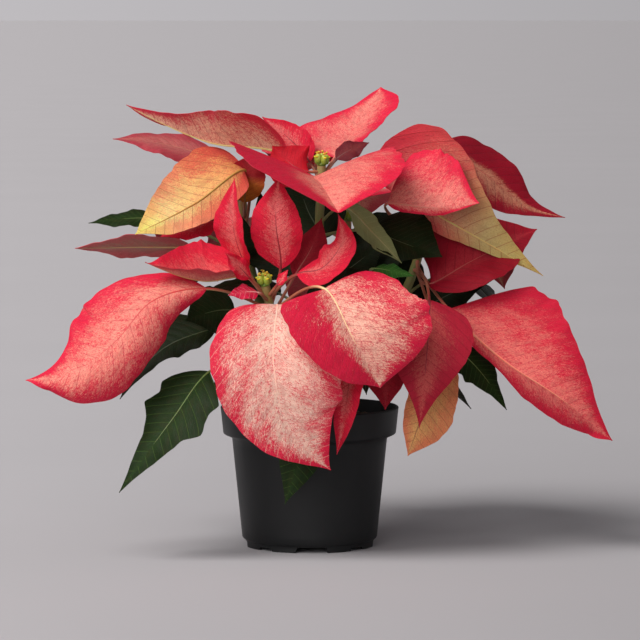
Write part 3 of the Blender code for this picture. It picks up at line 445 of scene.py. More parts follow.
# Upper sides of the bracts whose underside is plain.
TOPS = {
    "scarlet": side(
        (0.66, 0.012, 0.04), (0.76, 0.12, 0.12), (0.4, 0.006, 0.03), (0.5, 0.02, 0.04), (0.6, 0.6), 0.8,
    ),
    "rosy": side(
        (0.7, 0.012, 0.05), (0.82, 0.25, 0.2), (0.6, 0.05, 0.08), (0.7, 0.2, 0.16), (0.72, 0.72), 0.6,
    ),
    "half_rosy": side(
        (0.68, 0.01, 0.045), (0.84, 0.27, 0.21), (0.6, 0.05, 0.08), (0.7, 0.2, 0.16), (0.85, 0.3), 0.6,
    ),
    "pale_veined": side(
        (0.55, 0.012, 0.05), (0.6, 0.05, 0.08), (0.8, 0.4, 0.4), (0.8, 0.42, 0.4), (0.3, 0.3), 0.3,
    ),
    "rose": side(
        (0.64, 0.014, 0.045), (0.78, 0.18, 0.15), (0.56, 0.04, 0.06), (0.74, 0.22, 0.14), (0.66, 0.66), 0.9,
    ),
    "blush": side(
        (0.7, 0.012, 0.05), (0.84, 0.29, 0.22), (0.6, 0.05, 0.08), (0.6, 0.06, 0.06), (0.8, 0.7), 0.8,
    ),
    "mottled": side(
        (0.7, 0.014, 0.05), (0.84, 0.28, 0.22), (0.62, 0.08, 0.1), (0.78, 0.3, 0.2), (0.72, 0.75), 0.8,
    ),
    "creamy": side(
        (0.7, 0.016, 0.055), (0.92, 0.6, 0.48), (0.86, 0.36, 0.3), (0.9, 0.6, 0.46), (0.84, 0.84), 0.85,
    ),
    "half_creamy": side(
        (0.66, 0.012, 0.05), (0.9, 0.5, 0.38), (0.5, 0.03, 0.05), (0.86, 0.7, 0.36), (0.84, 0.3), 0.95,
    ),
    "dusky_pink": side(
        (0.46, 0.05, 0.07), (0.54, 0.15, 0.13), (0.3, 0.02, 0.04), (0.46, 0.2, 0.12), (0.7, 0.7), 0.6,
    ),
    "ember": side(
        (0.5, 0.1, 0.03), (0.6, 0.24, 0.04), (0.2, 0.01, 0.01), (0.3, 0.16, 0.03), (0.8, 0.8), 0.5, (
            (0.0, (0.5, 0.16, 0.02), (0.62, 0.26, 0.03)),
            (0.4, (0.52, 0.12, 0.02), (0.6, 0.2, 0.03)),
            (0.6, (0.34, 0.008, 0.014), (0.4, 0.03, 0.03)),
            (1.0, (0.34, 0.006, 0.014), (0.4, 0.02, 0.03)),
        ),
    ),
    "dusky": side(
        (0.4, 0.01, 0.03), (0.5, 0.08, 0.07), (0.18, 0.004, 0.015), (0.2, 0.004, 0.015), (0.5, 0.5), 0.8,
    ),
    "deep_red": side(
        (0.5, 0.004, 0.016), (0.56, 0.012, 0.026), (0.26, 0.003, 0.012), (0.36, 0.01, 0.02), (0.4, 0.4), 0.5,
    ),
    "crimson_tan": side(
        (0.25, 0.003, 0.014), (0.5, 0.2, 0.12), (0.1, 0.002, 0.008), (0.34, 0.05, 0.04), (0.2, 0.62), 0.6,
    ),
}

# Undersides of the bracts that turn them to the view.
UNDERSIDES = {
    # T7's underside: the peach is its own colour, but its heart is painted brighter, painted light standing
    # for the light that shines through the bract.
    "peach_under": side(
        (0.62, 0.03, 0.06), (0.9, 0.5, 0.34), (0.5, 0.06, 0.07), (0.66, 0.56, 0.2), (0.8, 0.9), 0.7,
    ),
    "yellow_under": side(
        (0.72, 0.26, 0.1), (0.78, 0.55, 0.16), (0.3, 0.05, 0.03), (0.5, 0.3, 0.07), (0.9, 0.5), 0.7, (
            (0.0, (0.6, 0.06, 0.05), (0.74, 0.3, 0.1)),
            (0.35, (0.72, 0.14, 0.08), (0.84, 0.5, 0.18)),
            (0.7, (0.84, 0.32, 0.16), (0.88, 0.7, 0.28)),
            (1.0, (0.8, 0.66, 0.16), (0.76, 0.76, 0.14)),
        ),
    ),
    "purple_under": side(
        (0.56, 0.1, 0.1), (0.42, 0.2, 0.14), (0.46, 0.06, 0.08), (0.5, 0.32, 0.14), (0.6, 0.6), 0.7,
    ),
    "tan_under": side(
        (0.68, 0.2, 0.09), (0.76, 0.42, 0.15), (0.3, 0.07, 0.03), (0.36, 0.16, 0.05), (0.9, 0.9), 0.6,
    ),
    "pink_olive_under": side(
        (0.66, 0.12, 0.1), (0.7, 0.3, 0.2), (0.28, 0.02, 0.02), (0.6, 0.5, 0.16), (0.8, 0.8), 0.7, (
            (0.0, (0.66, 0.03, 0.06), (0.78, 0.18, 0.16)),
            (0.35, (0.62, 0.09, 0.08), (0.66, 0.26, 0.16)),
            (0.6, (0.5, 0.36, 0.14), (0.56, 0.42, 0.18)),
            (1.0, (0.6, 0.44, 0.12), (0.6, 0.5, 0.14)),
        ),
    ),
}

# Looks of the green leaves, each as upper side and underside.
GREEN_LOOKS = {
    # Painted shade: near-black, darker than the leaves' own green, standing for the deep shade inside the
    # plant.
    "deep_green": (
        side(
            (0.005, 0.012, 0.003), (0.007, 0.017, 0.004), (0.018, 0.034, 0.008), (0.03, 0.05, 0.012),
            mottle=0.3,
        ),
        side(
            (0.014, 0.02, 0.007), (0.018, 0.026, 0.009), (0.026, 0.034, 0.012), (0.045, 0.05, 0.018),
            mottle=0.2,
        ),
    ),
    "green": (
        side(
            (0.008, 0.022, 0.004), (0.013, 0.034, 0.006), (0.06, 0.11, 0.022), (0.11, 0.18, 0.04), mottle=0.4,
        ),
        GREEN_UNDER,
    ),
    "olive_under": (
        side((0.1, 0.12, 0.04), (0.13, 0.14, 0.05), (0.2, 0.2, 0.08), (0.26, 0.24, 0.1), mottle=0.3),
        side((0.2, 0.22, 0.09), (0.24, 0.25, 0.1), (0.3, 0.32, 0.13), (0.3, 0.32, 0.13), mottle=0.3),
    ),
    "olive": (
        side((0.06, 0.1, 0.02), (0.07, 0.12, 0.025), (0.14, 0.22, 0.05), (0.2, 0.26, 0.08), mottle=0.3),
        GREEN_UNDER,
    ),
    "bright_green": (
        side((0.03, 0.12, 0.02), (0.05, 0.18, 0.03), (0.14, 0.3, 0.07), (0.2, 0.36, 0.1), mottle=0.3),
        GREEN_UNDER,
    ),
}

# All looks by name, each as upper side and underside.
LOOKS = {
    "red": (RED_TOP, RED_UNDER),
    "crimson": (
        side(
            (0.28, 0.003, 0.014), (0.36, 0.02, 0.03), (0.12, 0.002, 0.008), (0.34, 0.05, 0.04),
            (0.3, 0.3), 0.5,
        ),
        side((0.36, 0.03, 0.04), (0.46, 0.18, 0.11), (0.24, 0.03, 0.03), (0.4, 0.2, 0.1), (0.7, 0.7)),
    ),
    "dark": (
        side((0.12, 0.008, 0.014), (0.16, 0.02, 0.02), (0.06, 0.01, 0.01), (0.1, 0.02, 0.02)),
        side((0.1, 0.01, 0.012), (0.14, 0.02, 0.02), (0.06, 0.01, 0.01), (0.1, 0.02, 0.02)),
    ),
    **{name: (top, PLAIN_UNDER) for name, top in TOPS.items()},
    **{name: (RED_TOP, under) for name, under in UNDERSIDES.items()},
    **GREEN_LOOKS,
}

DARK_FLECK = (0.08, 0.004, 0.008)
GREEN_PETIOLE = (0.14, 0.16, 0.05)
RED_PETIOLE = (0.36, 0.13, 0.07)


# Curves and blades, as in the model.


def unit(v):
    return v / np.maximum(np.linalg.norm(v, axis=-1, keepdims=True), 1e-9)


def smooth_curve(points, at):
    """Points and directions of a smooth curve through points, at shares of its length from 0 to 1."""
    p = np.asarray(points, float)
    step = np.linalg.norm(np.diff(p, axis=0), axis=1)
    knots = np.concatenate([[0], np.cumsum(step)])
    slope = np.diff(p, axis=0) / step[:, None]
    tangent = np.repeat(slope[:1], len(p), axis=0)
    if len(p) > 2:
        before, after = step[:-1, None], step[1:, None]
        tangent[1:-1] = (slope[:-1] * after + slope[1:] * before) / (before + after)
        tangent[0] = 1.5 * slope[0] - 0.5 * tangent[1]
        tangent[-1] = 1.5 * slope[-1] - 0.5 * tangent[-2]
    along = np.clip(np.asarray(at, float), 0, 1) * knots[-1]
    i = np.clip(np.searchsorted(knots, along, side="right") - 1, 0, len(step) - 1)
    h = step[i][:, None]
    u = ((along - knots[i]) / step[i])[:, None]
    place = (
        (2 * u**3 - 3 * u**2 + 1) * p[i]
        + (u**3 - 2 * u**2 + u) * h * tangent[i]
        + (3 * u**2 - 2 * u**3) * p[i + 1]
        + (u**3 - u**2) * h * tangent[i + 1]
    )
    way = (
        (6 * u**2 - 6 * u) * p[i] / h
        + (3 * u**2 - 4 * u + 1) * tangent[i]
        + (6 * u - 6 * u**2) * p[i + 1] / h
        + (3 * u**2 - 2 * u) * tangent[i + 1]
    )
    return place, unit(way)


def chord_length(points):
    return np.linalg.norm(np.diff(np.asarray(points, float), axis=0), axis=1).sum()


def on_branch(branch, rise):
    """The point of a branch's centre line that is rise below the middle of its bloom."""
    line = BRANCHES[branch]
    return smooth_curve(line, [1 - rise / chord_length(line)])[0][0]


def smooth_rows(x, rows_x, rows_y):
    """A smooth curve through rows that never swings past them."""
    rows_x, rows_y = np.array(rows_x, float), np.array(rows_y, float)
    h = np.diff(rows_x)
    d = np.diff(rows_y) / h
    m = np.zeros(len(rows_x))
    same = d[:-1] * d[1:] > 0
    w1, w2 = 2 * h[1:] + h[:-1], h[1:] + 2 * h[:-1]
    inner = np.zeros(len(d) - 1)
    inner[same] = (w1 + w2)[same] / (w1[same] / d[:-1][same] + w2[same] / d[1:][same])
    m[1:-1] = inner
    m[0] = 1.4 * d[0]
    m[-1] = 0.6 * d[-1]
    i = np.clip(np.searchsorted(rows_x, x, side="right") - 1, 0, len(h) - 1)
    u = (x - rows_x[i]) / h[i]
    return (
        (2 * u**3 - 3 * u**2 + 1) * rows_y[i] + (u**3 - 2 * u**2 + u) * h[i] * m[i]
        + (3 * u**2 - 2 * u**3) * rows_y[i + 1] + (u**3 - u**2) * h[i] * m[i + 1]
    )


def half_widths(form, which, shares):
    """Shares of the widest half-width, where which is 0 for the left half and 1 for the right."""
    rows = FORMS[form]
    widths = [row[-1] if which else row[1] for row in rows]
    found = smooth_rows(shares, [row[0] for row in rows], widths)
    if form == "toothed":
        sharp = np.interp(shares, [row[0] for row in rows], widths)
        found = 0.35 * found + 0.65 * sharp
    return np.clip(found, 0, None)


def turned_up(fold, curl, reach):
    """How far out and how far up half-blades of width 1 get at reach, folded and then curled."""
    f = np.radians(fold)
    c = np.where(np.abs(np.radians(curl)) < 1e-4, 1e-4, np.radians(curl))
    return (np.sin(f + c * reach) - np.sin(f)) / c, (np.cos(f) - np.cos(f + c * reach)) / c


def whole_line(one):
    return [on_branch(one.branch, one.rise)] + list(one.path)


def blade_start(one):
    """Share of the whole line, from the stem to the tip, at which the blade begins."""
    line = whole_line(one)
    return chord_length(line[:2]) / chord_length(line)


def ways_along(one, at):
    """Places along a leaf's whole line with the ways ahead, up and right there."""
    start = blade_start(one)
    place, way = smooth_curve(whole_line(one), at)
    turn = np.clip((at - start) / (1 - start), 0, 1)[:, None]
    face = unit(np.array(one.face, float)) * (1 - turn) + unit(np.array(one.face_tip, float)) * turn
    up = unit(face - (face * way).sum(1)[:, None] * way)
    return place, way, up, np.cross(way, up)


def vein_rank(along, out, spacing):
    """Which vein a point is on: whole numbers are on veins. along and out are in millimetres."""
    return (along - VEIN_LEAN * out - VEIN_BEND * out**2) / spacing


def seed_of(name):
    return sum((k + 3) * ord(c) for k, c in enumerate(name)) % 997


def side_colours(one_side, share):
    """Margin and heart colours at a share of the length."""
    if not one_side.stops:
        rim = np.repeat(np.array([one_side.rim]), len(share), axis=0)
        return rim, np.repeat(np.array([one_side.heart]), len(share), axis=0)
    knots = [stop[0] for stop in one_side.stops]
    rim = np.stack([np.interp(share, knots, [stop[1][k] for stop in one_side.stops]) for k in range(3)], 1)
    heart = np.stack([np.interp(share, knots, [stop[2][k] for stop in one_side.stops]) for k in range(3)], 1)
    return rim, heart


def leaf_arrays(one):
    """Points, faces and point attributes of a blade: a thin closed shape, with no rib or petiole."""
    length = chord_length(one.path)
    rng = np.random.RandomState(seed_of(one.name))
    steps = max(24, int(length / ALONG_STEP))
    shares = np.linspace(0, 1, steps + 1)
    start = blade_start(one)
    place, _, up, right = ways_along(one, start + (1 - start) * shares)
    spacing = VEIN_SPACING * np.clip(length / VEIN_LENGTH, *VEIN_SPACING_LIMITS)
    quilt_height = LEAF_QUILT if one.look in GREEN_LOOKS else BRACT_QUILT
    height, count, phase = one.wave
    swell = height * np.sin(math.pi * shares)
    ripple = rng.uniform(0, 1, 6)
    upper, under = LOOKS[one.look]
    grids, facts = [], []
    for which, sign in ((0, -1), (1, 1)):
        widest = one.half[which]
        cells = max(5, int(widest / ACROSS_STEP))
        reaches = np.linspace(0, 1, cells + 1)[1:]
        half = np.maximum(half_widths(one.form, which, shares) * widest, TIP_HALF_WIDTH)
        uneven = np.zeros(steps + 1)
        for index, (share, number) in enumerate(MARGIN_WAVES):
            uneven += share * np.sin(2 * math.pi * (number * shares + ripple[2 * index + which]))
        half = half * (1 + uneven * np.clip(half / OPEN_WIDTH, 0, 1))
        opened = np.clip(half / OPEN_WIDTH, 0, 1)
        wave = swell * np.sin(2 * math.pi * (count * shares + phase + SIDE_PHASE * which))
        fine = FINE_HEIGHT * height * np.sin(2 * math.pi * (FINE_COUNT * shares + ripple[4 + which]))
        fine = fine * np.sin(math.pi * shares)
        rows = []
        for reach in reaches:
            out, lift = turned_up(one.fold[which] * opened, one.curl[which] * opened, reach)
            wide = half * reach
            rank = vein_rank(shares * length, wide, spacing) + 0.5 * which
            pillow = np.abs(np.sin(math.pi * rank)) ** QUILT_ROUNDNESS - QUILT_LEVEL
            fade = np.clip(wide / MIDRIB_FADE, 0, 1) * np.clip((half - wide) / MARGIN_FADE, 0, 1)
            fade = fade * np.clip(half / NARROW_FADE, 0, 1)
            quilt = quilt_height * pillow * fade * spacing / VEIN_SPACING
            upward = half * lift + (wave + fine) * reach**2 + quilt
            rows.append(place + (half * out)[:, None] * sign * right + upward[:, None] * up)
            facts.append((which, sign * wide, reach))
        grids.append(rows)
    left_count = len(grids[0])
    rows = grids[0][::-1] + [place] + grids[1]
    facts = facts[:left_count][::-1] + [(0, np.zeros(steps + 1), 0.0)] + facts[left_count:]
    grid = np.stack(rows, axis=1)
    across = grid.shape[1]
    normal = unit(np.cross(np.gradient(grid, axis=1), np.gradient(grid, axis=0)))
    wide = np.stack([fact[1] for fact in facts], axis=1)
    reach = np.stack([np.full(steps + 1, fact[2]) for fact in facts], axis=1)
    thick = BLADE_THICKNESS + (EDGE_THICKNESS - BLADE_THICKNESS) * reach**3
    over = grid + normal * thick[..., None] / 2
    below = grid - normal * thick[..., None] / 2

    count_side = over.shape[0] * across
    points = np.concatenate([over.reshape(-1, 3), below.reshape(-1, 3)])
    faces = []

    def at(layer, i, j):
        return layer * count_side + i * across + j

    for i in range(steps):
        for j in range(across - 1):
            faces.append((at(0, i, j), at(0, i, j + 1), at(0, i + 1, j + 1), at(0, i + 1, j)))
            faces.append((at(1, i, j), at(1, i + 1, j), at(1, i + 1, j + 1), at(1, i, j + 1)))
    for i in range(steps):
        faces.append((at(0, i, 0), at(0, i + 1, 0), at(1, i + 1, 0), at(1, i, 0)))
        last = across - 1
        faces.append((at(0, i, last), at(1, i, last), at(1, i + 1, last), at(0, i + 1, last)))
    for j in range(across - 1):
        faces.append((at(0, 0, j), at(1, 0, j), at(1, 0, j + 1), at(0, 0, j + 1)))
        faces.append((at(0, steps, j), at(0, steps, j + 1), at(1, steps, j + 1), at(1, steps, j)))

    share_of = np.repeat(shares, across)
    along = share_of * length
    wide_of = wide.reshape(-1)
    reach_of = reach.reshape(-1)
    is_right = np.array([fact[0] for fact in facts])[None, :].repeat(steps + 1, 0).reshape(-1)
    rank = vein_rank(along, np.abs(wide_of), spacing)
    layers = []
    for one_side, layer in ((upper, 0), (under, 1)):
        rim, heart = side_colours(one_side, share_of)
        extent = np.where(is_right > 0, one_side.reach[1], one_side.reach[0])
        middle = np.clip(np.sin(math.pi * np.clip(share_of * 0.94 + 0.06, 0, 1)), 0, 1) ** 0.5
        reached = np.maximum(extent * middle, LEAST_EXTENT)
        pale = np.clip(HEART_PALENESS - reach_of / reached, *PALE_LIMITS)
        seeds = np.full(len(rank), float(seed_of(one.name)) + 50 * layer)
        layers.append({
            "grain": np.stack([rank * spacing, wide_of, seeds], 1),
            "rank": rank,
            "pale": pale,
            "rim": rim,
            "heart": heart,
            "vein": np.repeat(np.array([one_side.vein]), len(rank), axis=0),
            "mottle": np.full(len(rank), one_side.mottle),
        })
    attributes = {name: np.concatenate([layers[0][name], layers[1][name]]) for name in layers[0]}
    return points, faces, attributes


def rib_arrays(one):
    """The petiole and, in one piece with it, the rib under the blade: a tapering closed tube."""
    start = blade_start(one)
    upper, under = LOOKS[one.look]
    at = np.concatenate([np.linspace(0, start, PETIOLE_ROWS)[:-1], np.linspace(start, RIB_END, RIB_ROWS)])
    place, _, up, right = ways_along(one, at)
    scale = min(1.0, max(one.half) / RIB_FULL_WIDTH)
    radii = [PETIOLE_RADIUS * PETIOLE_FLARE, PETIOLE_RADIUS, PETIOLE_RADIUS * PETIOLE_NECK, RIB_TIP_RADIUS]
    radius = np.interp(at, [0, 0.04, start, 1], radii)
    radius *= np.where(at > start, 0.55 + 0.45 * scale, 1.0)
    # Under the blade the rib sinks, so that it just shows above.
    sink = np.interp(at, [0, start * 0.85, start + 0.04, 1], [0, 0, 0.3, 0.45]) * radius
    centre = place - sink[:, None] * up
    turn = np.linspace(0, 2 * math.pi, RIB_SIDES, endpoint=False)
    ring = np.stack([np.cos(turn), np.sin(turn)], 1)
    points = (
        centre[:, None, :]
        + radius[:, None, None] * (ring[None, :, :1] * right[:, None, :] + ring[None, :, 1:] * up[:, None, :])
    ).reshape(-1, 3)
    faces = []
    for i in range(len(at) - 1):
        faces += ring_faces(i * RIB_SIDES, (i + 1) * RIB_SIDES, RIB_SIDES, turned=True)
    faces.append(lid(0, RIB_SIDES))
    faces.append(lid((len(at) - 1) * RIB_SIDES, RIB_SIDES)[::-1])
    # It has the colour of the midrib above and of the underside's rib below.
    top_colour, low_colour = np.array(upper.rib), np.array(under.rib)
    mix = np.tile((np.sin(turn) > 0.2).astype(float), len(at))[:, None]
    shade = top_colour * mix + low_colour * (1 - mix)
    petiole = np.array(GREEN_PETIOLE if one.look in GREEN_LOOKS else RED_PETIOLE)
    blend = np.repeat(np.clip((at - start * 0.7) / (0.3 * start), 0, 1), RIB_SIDES)[:, None]
    colour = petiole * (1 - blend) + shade * blend
    along = np.repeat(at * chord_length(whole_line(one)), RIB_SIDES)
    grain = np.stack([along, np.tile(turn, len(at)), np.full(len(along), float(seed_of(one.name)))], 1)
    return points, faces, {"tint": colour, "grain": grain}


# Meshes.


def ring_points(radius, z, sides):
    """Points at one height, all round the axis."""
    turns = [2 * math.pi * k / sides for k in range(sides)]
    return [(radius * math.cos(a), radius * math.sin(a), z) for a in turns]


def ring_faces(first, second, sides, turned=False):
    """Faces between two rings of points that begin at first and second, or the same faces turned over."""
    faces = []
    for k in range(sides):
        m = (k + 1) % sides
        if turned:
            faces.append((first + k, second + k, second + m, first + m))
        else:
            faces.append((first + k, first + m, second + m, second + k))
    return faces


def fan_faces(sides):
    """Faces from point 0 to the ring of points that begins at 1."""
    return [(0, 1 + k, 1 + (k + 1) % sides) for k in range(sides)]


def lid(first, sides):
    """One face across a ring of points."""
    return tuple(first + k for k in range(sides))


def tube_faces(rings, sides):
    """Faces of a closed tube of rings of points."""
    faces = []
    for i in range(rings - 1):
        faces += ring_faces(i * sides, (i + 1) * sides, sides)
    return faces + [lid(0, sides)[::-1], lid((rings - 1) * sides, sides)]


def add_mesh(name, points, faces, finish, attributes=None):
    """A mesh object from points in millimetres, with its material and point attributes."""
    mesh = bpy.data.meshes.new(name)
    mesh.from_pydata((np.asarray(points, float) * MM).tolist(), [], [tuple(face) for face in faces])
    for key, values in (attributes or {}).items():
        values = np.asarray(values, float)
        if values.ndim == 1:
            layer = mesh.attributes.new(key, "FLOAT", "POINT")
            layer.data.foreach_set("value", values.astype(np.float32))
        elif key == "grain":
            layer = mesh.attributes.new(key, "FLOAT_VECTOR", "POINT")
            layer.data.foreach_set("vector", values.astype(np.float32).ravel())
        else:
            layer = mesh.attributes.new(key, "FLOAT_COLOR", "POINT")
            filled = np.concatenate([values, np.ones((len(values), 1))], axis=1)
            layer.data.foreach_set("color", filled.astype(np.float32).ravel())
    mesh.materials.append(finish)
    mesh.shade_smooth()
    mesh.set_sharp_from_angle(angle=SHARP_ANGLE)
    made = bpy.data.objects.new(name, mesh)
    bpy.context.scene.collection.objects.link(made)
    return made


def settle(made, slot, *nodes):
    """The piece rides with the plant and stands for the nodes, whose own parts are hidden. The slot is not
    used.
    """
    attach(made, "root")
    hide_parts(*nodes)


# Materials.


class Tree:
    """Short names for building the nodes of a tree."""

    def __init__(self, tree):
        self.tree = tree

    def node(self, kind, **settings):
        made = self.tree.nodes.new(kind)
        for key, value in settings.items():
            setattr(made, key, value)
        return made

    def join(self, source, target):
        self.tree.links.new(source, target)

    def put(self, value, socket):
        if isinstance(value, bpy.types.NodeSocket):
            self.join(value, socket)
        else:
            socket.default_value = value

    def attribute(self, name, output="Fac"):
        return self.node("ShaderNodeAttribute", attribute_name=name).outputs[output]

    def math(self, operation, a, b=0.0, c=0.0):
        made = self.node("ShaderNodeMath", operation=operation)
        for index, value in enumerate((a, b, c)):
            self.put(value, made.inputs[index])
        return made.outputs[0]

    def span(self, value, low, high, out_low=0.0, out_high=1.0):
        made = self.node("ShaderNodeMapRange", interpolation_type="SMOOTHSTEP")
        for index, number in enumerate((value, low, high, out_low, out_high)):
            self.put(number, made.inputs[index])
        return made.outputs[0]

    def mix(self, factor, a, b, blend="MIX"):
        made = self.node("ShaderNodeMix", data_type="RGBA", blend_type=blend)
        self.put(factor, made.inputs[0])
        for value, index in ((a, 6), (b, 7)):
            self.put((*value, 1) if isinstance(value, tuple) else value, made.inputs[index])
        return made.outputs[2]

    def scaled(self, vector, scale):
        made = self.node("ShaderNodeVectorMath", operation="MULTIPLY")
        self.put(vector, made.inputs[0])
        made.inputs[1].default_value = scale
        return made.outputs[0]

    def noise(self, vector, scale, detail=2.0, roughness=0.5, distortion=0.0):
        made = self.node("ShaderNodeTexNoise")
        self.put(vector, made.inputs["Vector"])
        made.inputs["Scale"].default_value = scale
        made.inputs["Detail"].default_value = detail
        made.inputs["Roughness"].default_value = roughness
        made.inputs["Distortion"].default_value = distortion
        return made.outputs["Fac"]

    def cells(self, vector, scale):
        made = self.node("ShaderNodeTexVoronoi", feature="DISTANCE_TO_EDGE")
        self.put(vector, made.inputs["Vector"])
        made.inputs["Scale"].default_value = scale
        return made.outputs["Distance"]

    def axis(self, vector, index):
        made = self.node("ShaderNodeSeparateXYZ")
        self.put(vector, made.inputs[0])
        return made.outputs[index]


class Nodes(Tree):
    """The nodes of a new material round its shader."""

    def __init__(self, name):
        self.material = bpy.data.materials.new(name)
        self.material.use_nodes = True
        super().__init__(self.material.node_tree)
        self.shader = self.tree.nodes["Principled BSDF"]

    def bump(self, height, strength, distance):
        made = self.node("ShaderNodeBump")
        made.inputs["Strength"].default_value = strength
        made.inputs["Distance"].default_value = distance
        self.put(height, made.inputs["Height"])
        self.join(made.outputs[0], self.shader.inputs["Normal"])

    def finish(self, colour, roughness, **constants):
        self.put((*colour, 1) if isinstance(colour, tuple) else colour, self.shader.inputs["Base Color"])
        self.put(roughness, self.shader.inputs["Roughness"])
        for name, value in constants.items():
            self.shader.inputs[name.replace("_", " ")].default_value = value
        return self.material


def blade_material(name, roughness, vein_width, speckle, glow, shine):
    """Skin of a blade: two colours that break into each other, veins, a net of veinlets and fine speckles."""
    n = Nodes(name)
    grain = n.attribute("grain", "Vector")
    rim, heart, vein = (n.attribute(key, "Color") for key in ("rim", "heart", "vein"))
    pale, mottle, rank = (n.attribute(key) for key in ("pale", "mottle", "rank"))

    # Fine streaks run along the veins, specks lie at random, and wide patches are softer.
    streaks = n.noise(n.scaled(grain, (1.0, 0.7, 1.0)), 0.7, 4.0, 0.7, 0.6)
    patches = n.noise(grain, 0.08, 3.0, 0.55)
    specks = n.noise(grain, 1.6, 3.0, 0.75)
    stirred = n.math("MULTIPLY", n.math("SUBTRACT", streaks, 0.5), 3.0)
    stirred = n.math("MULTIPLY_ADD", n.math("SUBTRACT", patches, 0.5), 2.4, stirred)
    stirred = n.math("MULTIPLY_ADD", n.math("SUBTRACT", specks, 0.5), 3.4, stirred)
    amount = n.math("MULTIPLY_ADD", stirred, mottle, n.math("MAXIMUM", pale, LEAST_PALE))
    mixed = n.mix(n.span(amount, -0.1, 1.1), rim, heart)

    # A net of veinlets, redder than the blade, which comes and goes.
    net = n.cells(n.scaled(grain, (1.0, 0.75, 1.0)), 0.62)
    net_line = n.span(net, 0.0, 0.13, 1.0, 0.0)
    net_patch = n.span(n.noise(grain, 0.3, 3.0), 0.4, 0.62)
    netted = n.mix(n.math("MULTIPLY", net_line, n.math("MULTIPLY", net_patch, speckle)), mixed, rim)

    # Dark specks gather in places.
    dots = n.span(n.noise(grain, 1.3, 3.0, 0.75), 0.6, 0.72)
    gathered = n.math("MULTIPLY", dots, n.span(n.noise(grain, 0.11, 2.0), 0.42, 0.66, 0.08, 0.75))
    dotted = n.mix(n.math("MULTIPLY", gathered, n.math("MULTIPLY", mottle, speckle)), netted, rim)

    # The veins themselves.
    right_half = n.math("GREATER_THAN", n.axis(grain, 1), 0.0)
    shifted = n.math("MULTIPLY_ADD", right_half, 0.5, rank)
    near = n.math("ABSOLUTE", n.math("SUBTRACT", n.math("FRACT", n.math("ADD", shifted, 0.5)), 0.5))
    line = n.span(near, vein_width * 0.3, vein_width, 1.0, 0.0)
    lined = n.mix(n.math("MULTIPLY", line, 0.6), dotted, vein)

    # Fine dark flecks all over, and wider darker clouds.
    flecks = n.span(n.noise(grain, 1.0, 4.0, 0.8), 0.5, 0.64, 0.0, 0.7)
    clouds = n.span(n.noise(grain, 0.16, 4.0, 0.65), 0.45, 0.68, 0.0, 0.42)
    shade = n.math("MULTIPLY", n.math("MAXIMUM", flecks, clouds), speckle)
    worn = n.mix(shade, lined, n.mix(0.6, rim, DARK_FLECK))

    height = n.math("MULTIPLY_ADD", net_line, -0.6, n.math("MULTIPLY", specks, 0.5))
    height = n.math("MULTIPLY_ADD", line, -0.7, height)
    n.bump(height, 0.5, 0.00025)
    rough = n.span(streaks, 0.3, 0.7, roughness - 0.06, roughness + 0.06)
    n.finish(worn, rough, Subsurface_Weight=glow, Subsurface_Scale=0.0012, Specular_IOR_Level=shine)
    n.shader.inputs["Subsurface Radius"].default_value = (1.0, 0.35, 0.25)
    return n.material


def stalk_material():
    n = Nodes("stalk")
    grain = n.attribute("grain", "Vector")
    tint = n.attribute("tint", "Color")
    patches = n.span(n.noise(n.scaled(grain, (0.12, 0.5, 1.0)), 1.0, 3.0), 0.35, 0.7)
    colour = n.mix(n.math("MULTIPLY", patches, 0.35), tint, n.mix(1.0, tint, (1.5, 0.55, 0.5), "MULTIPLY"))
    n.bump(n.noise(n.scaled(grain, (0.4, 2.0, 1.0)), 1.0, 3.0), 0.3, 0.0002)
    return n.finish(colour, 0.48, Subsurface_Weight=0.15, Subsurface_Scale=0.001)


def pot_material():
    n = Nodes("pot_plastic")
    where = n.node("ShaderNodeTexCoord").outputs["Object"]
    mould = n.noise(where, 2600.0, 2.0, 0.6)
    flow = n.noise(n.scaled(where, (1.0, 1.0, 0.25)), 38.0, 3.0)
    dust = n.noise(where, 16.0, 4.0)
    rough = n.span(flow, 0.3, 0.7, 0.42, 0.54)
    colour = n.mix(n.span(dust, 0.35, 0.75), POT_DARK, POT_DUSTY)
    n.bump(mould, 0.14, 0.0001)
    return n.finish(colour, rough, Specular_IOR_Level=0.3)


def cyathium_material():
    """Waxy skin of the cups, glands and stamens, each with its own tint."""
    n = Nodes("cyathium")
    grain = n.attribute("grain", "Vector")
    tint = n.attribute("tint", "Color")
    mottled = n.mix(1.0, tint, (0.72, 0.86, 0.6), "MULTIPLY")
    colour = n.mix(n.span(n.noise(grain, 1.1, 3.0, 0.6), 0.35, 0.7), tint, mottled)
    n.bump(n.noise(grain, 2.4, 2.0), 0.25, 0.0001)
    return n.finish(colour, 0.36, Subsurface_Weight=0.2, Subsurface_Scale=0.0008)


def soil_material():
    n = Nodes("soil")
    where = n.node("ShaderNodeTexCoord").outputs["Object"]
    clods = n.noise(where, 260.0, 5.0, 0.65)
    fibres = n.noise(n.scaled(where, (1.0, 0.3, 1.0)), 900.0, 3.0)
    dark = n.mix(n.span(clods, 0.35, 0.7), SOIL_DARK, SOIL_PALE)
    colour = n.mix(n.span(fibres, 0.6, 0.75, 0.0, 0.6), dark, FIBRE_COLOUR)
    n.bump(n.math("ADD", clods, n.math("MULTIPLY", fibres, 0.4)), 0.9, 0.0012)
    return n.finish(colour, 0.95)


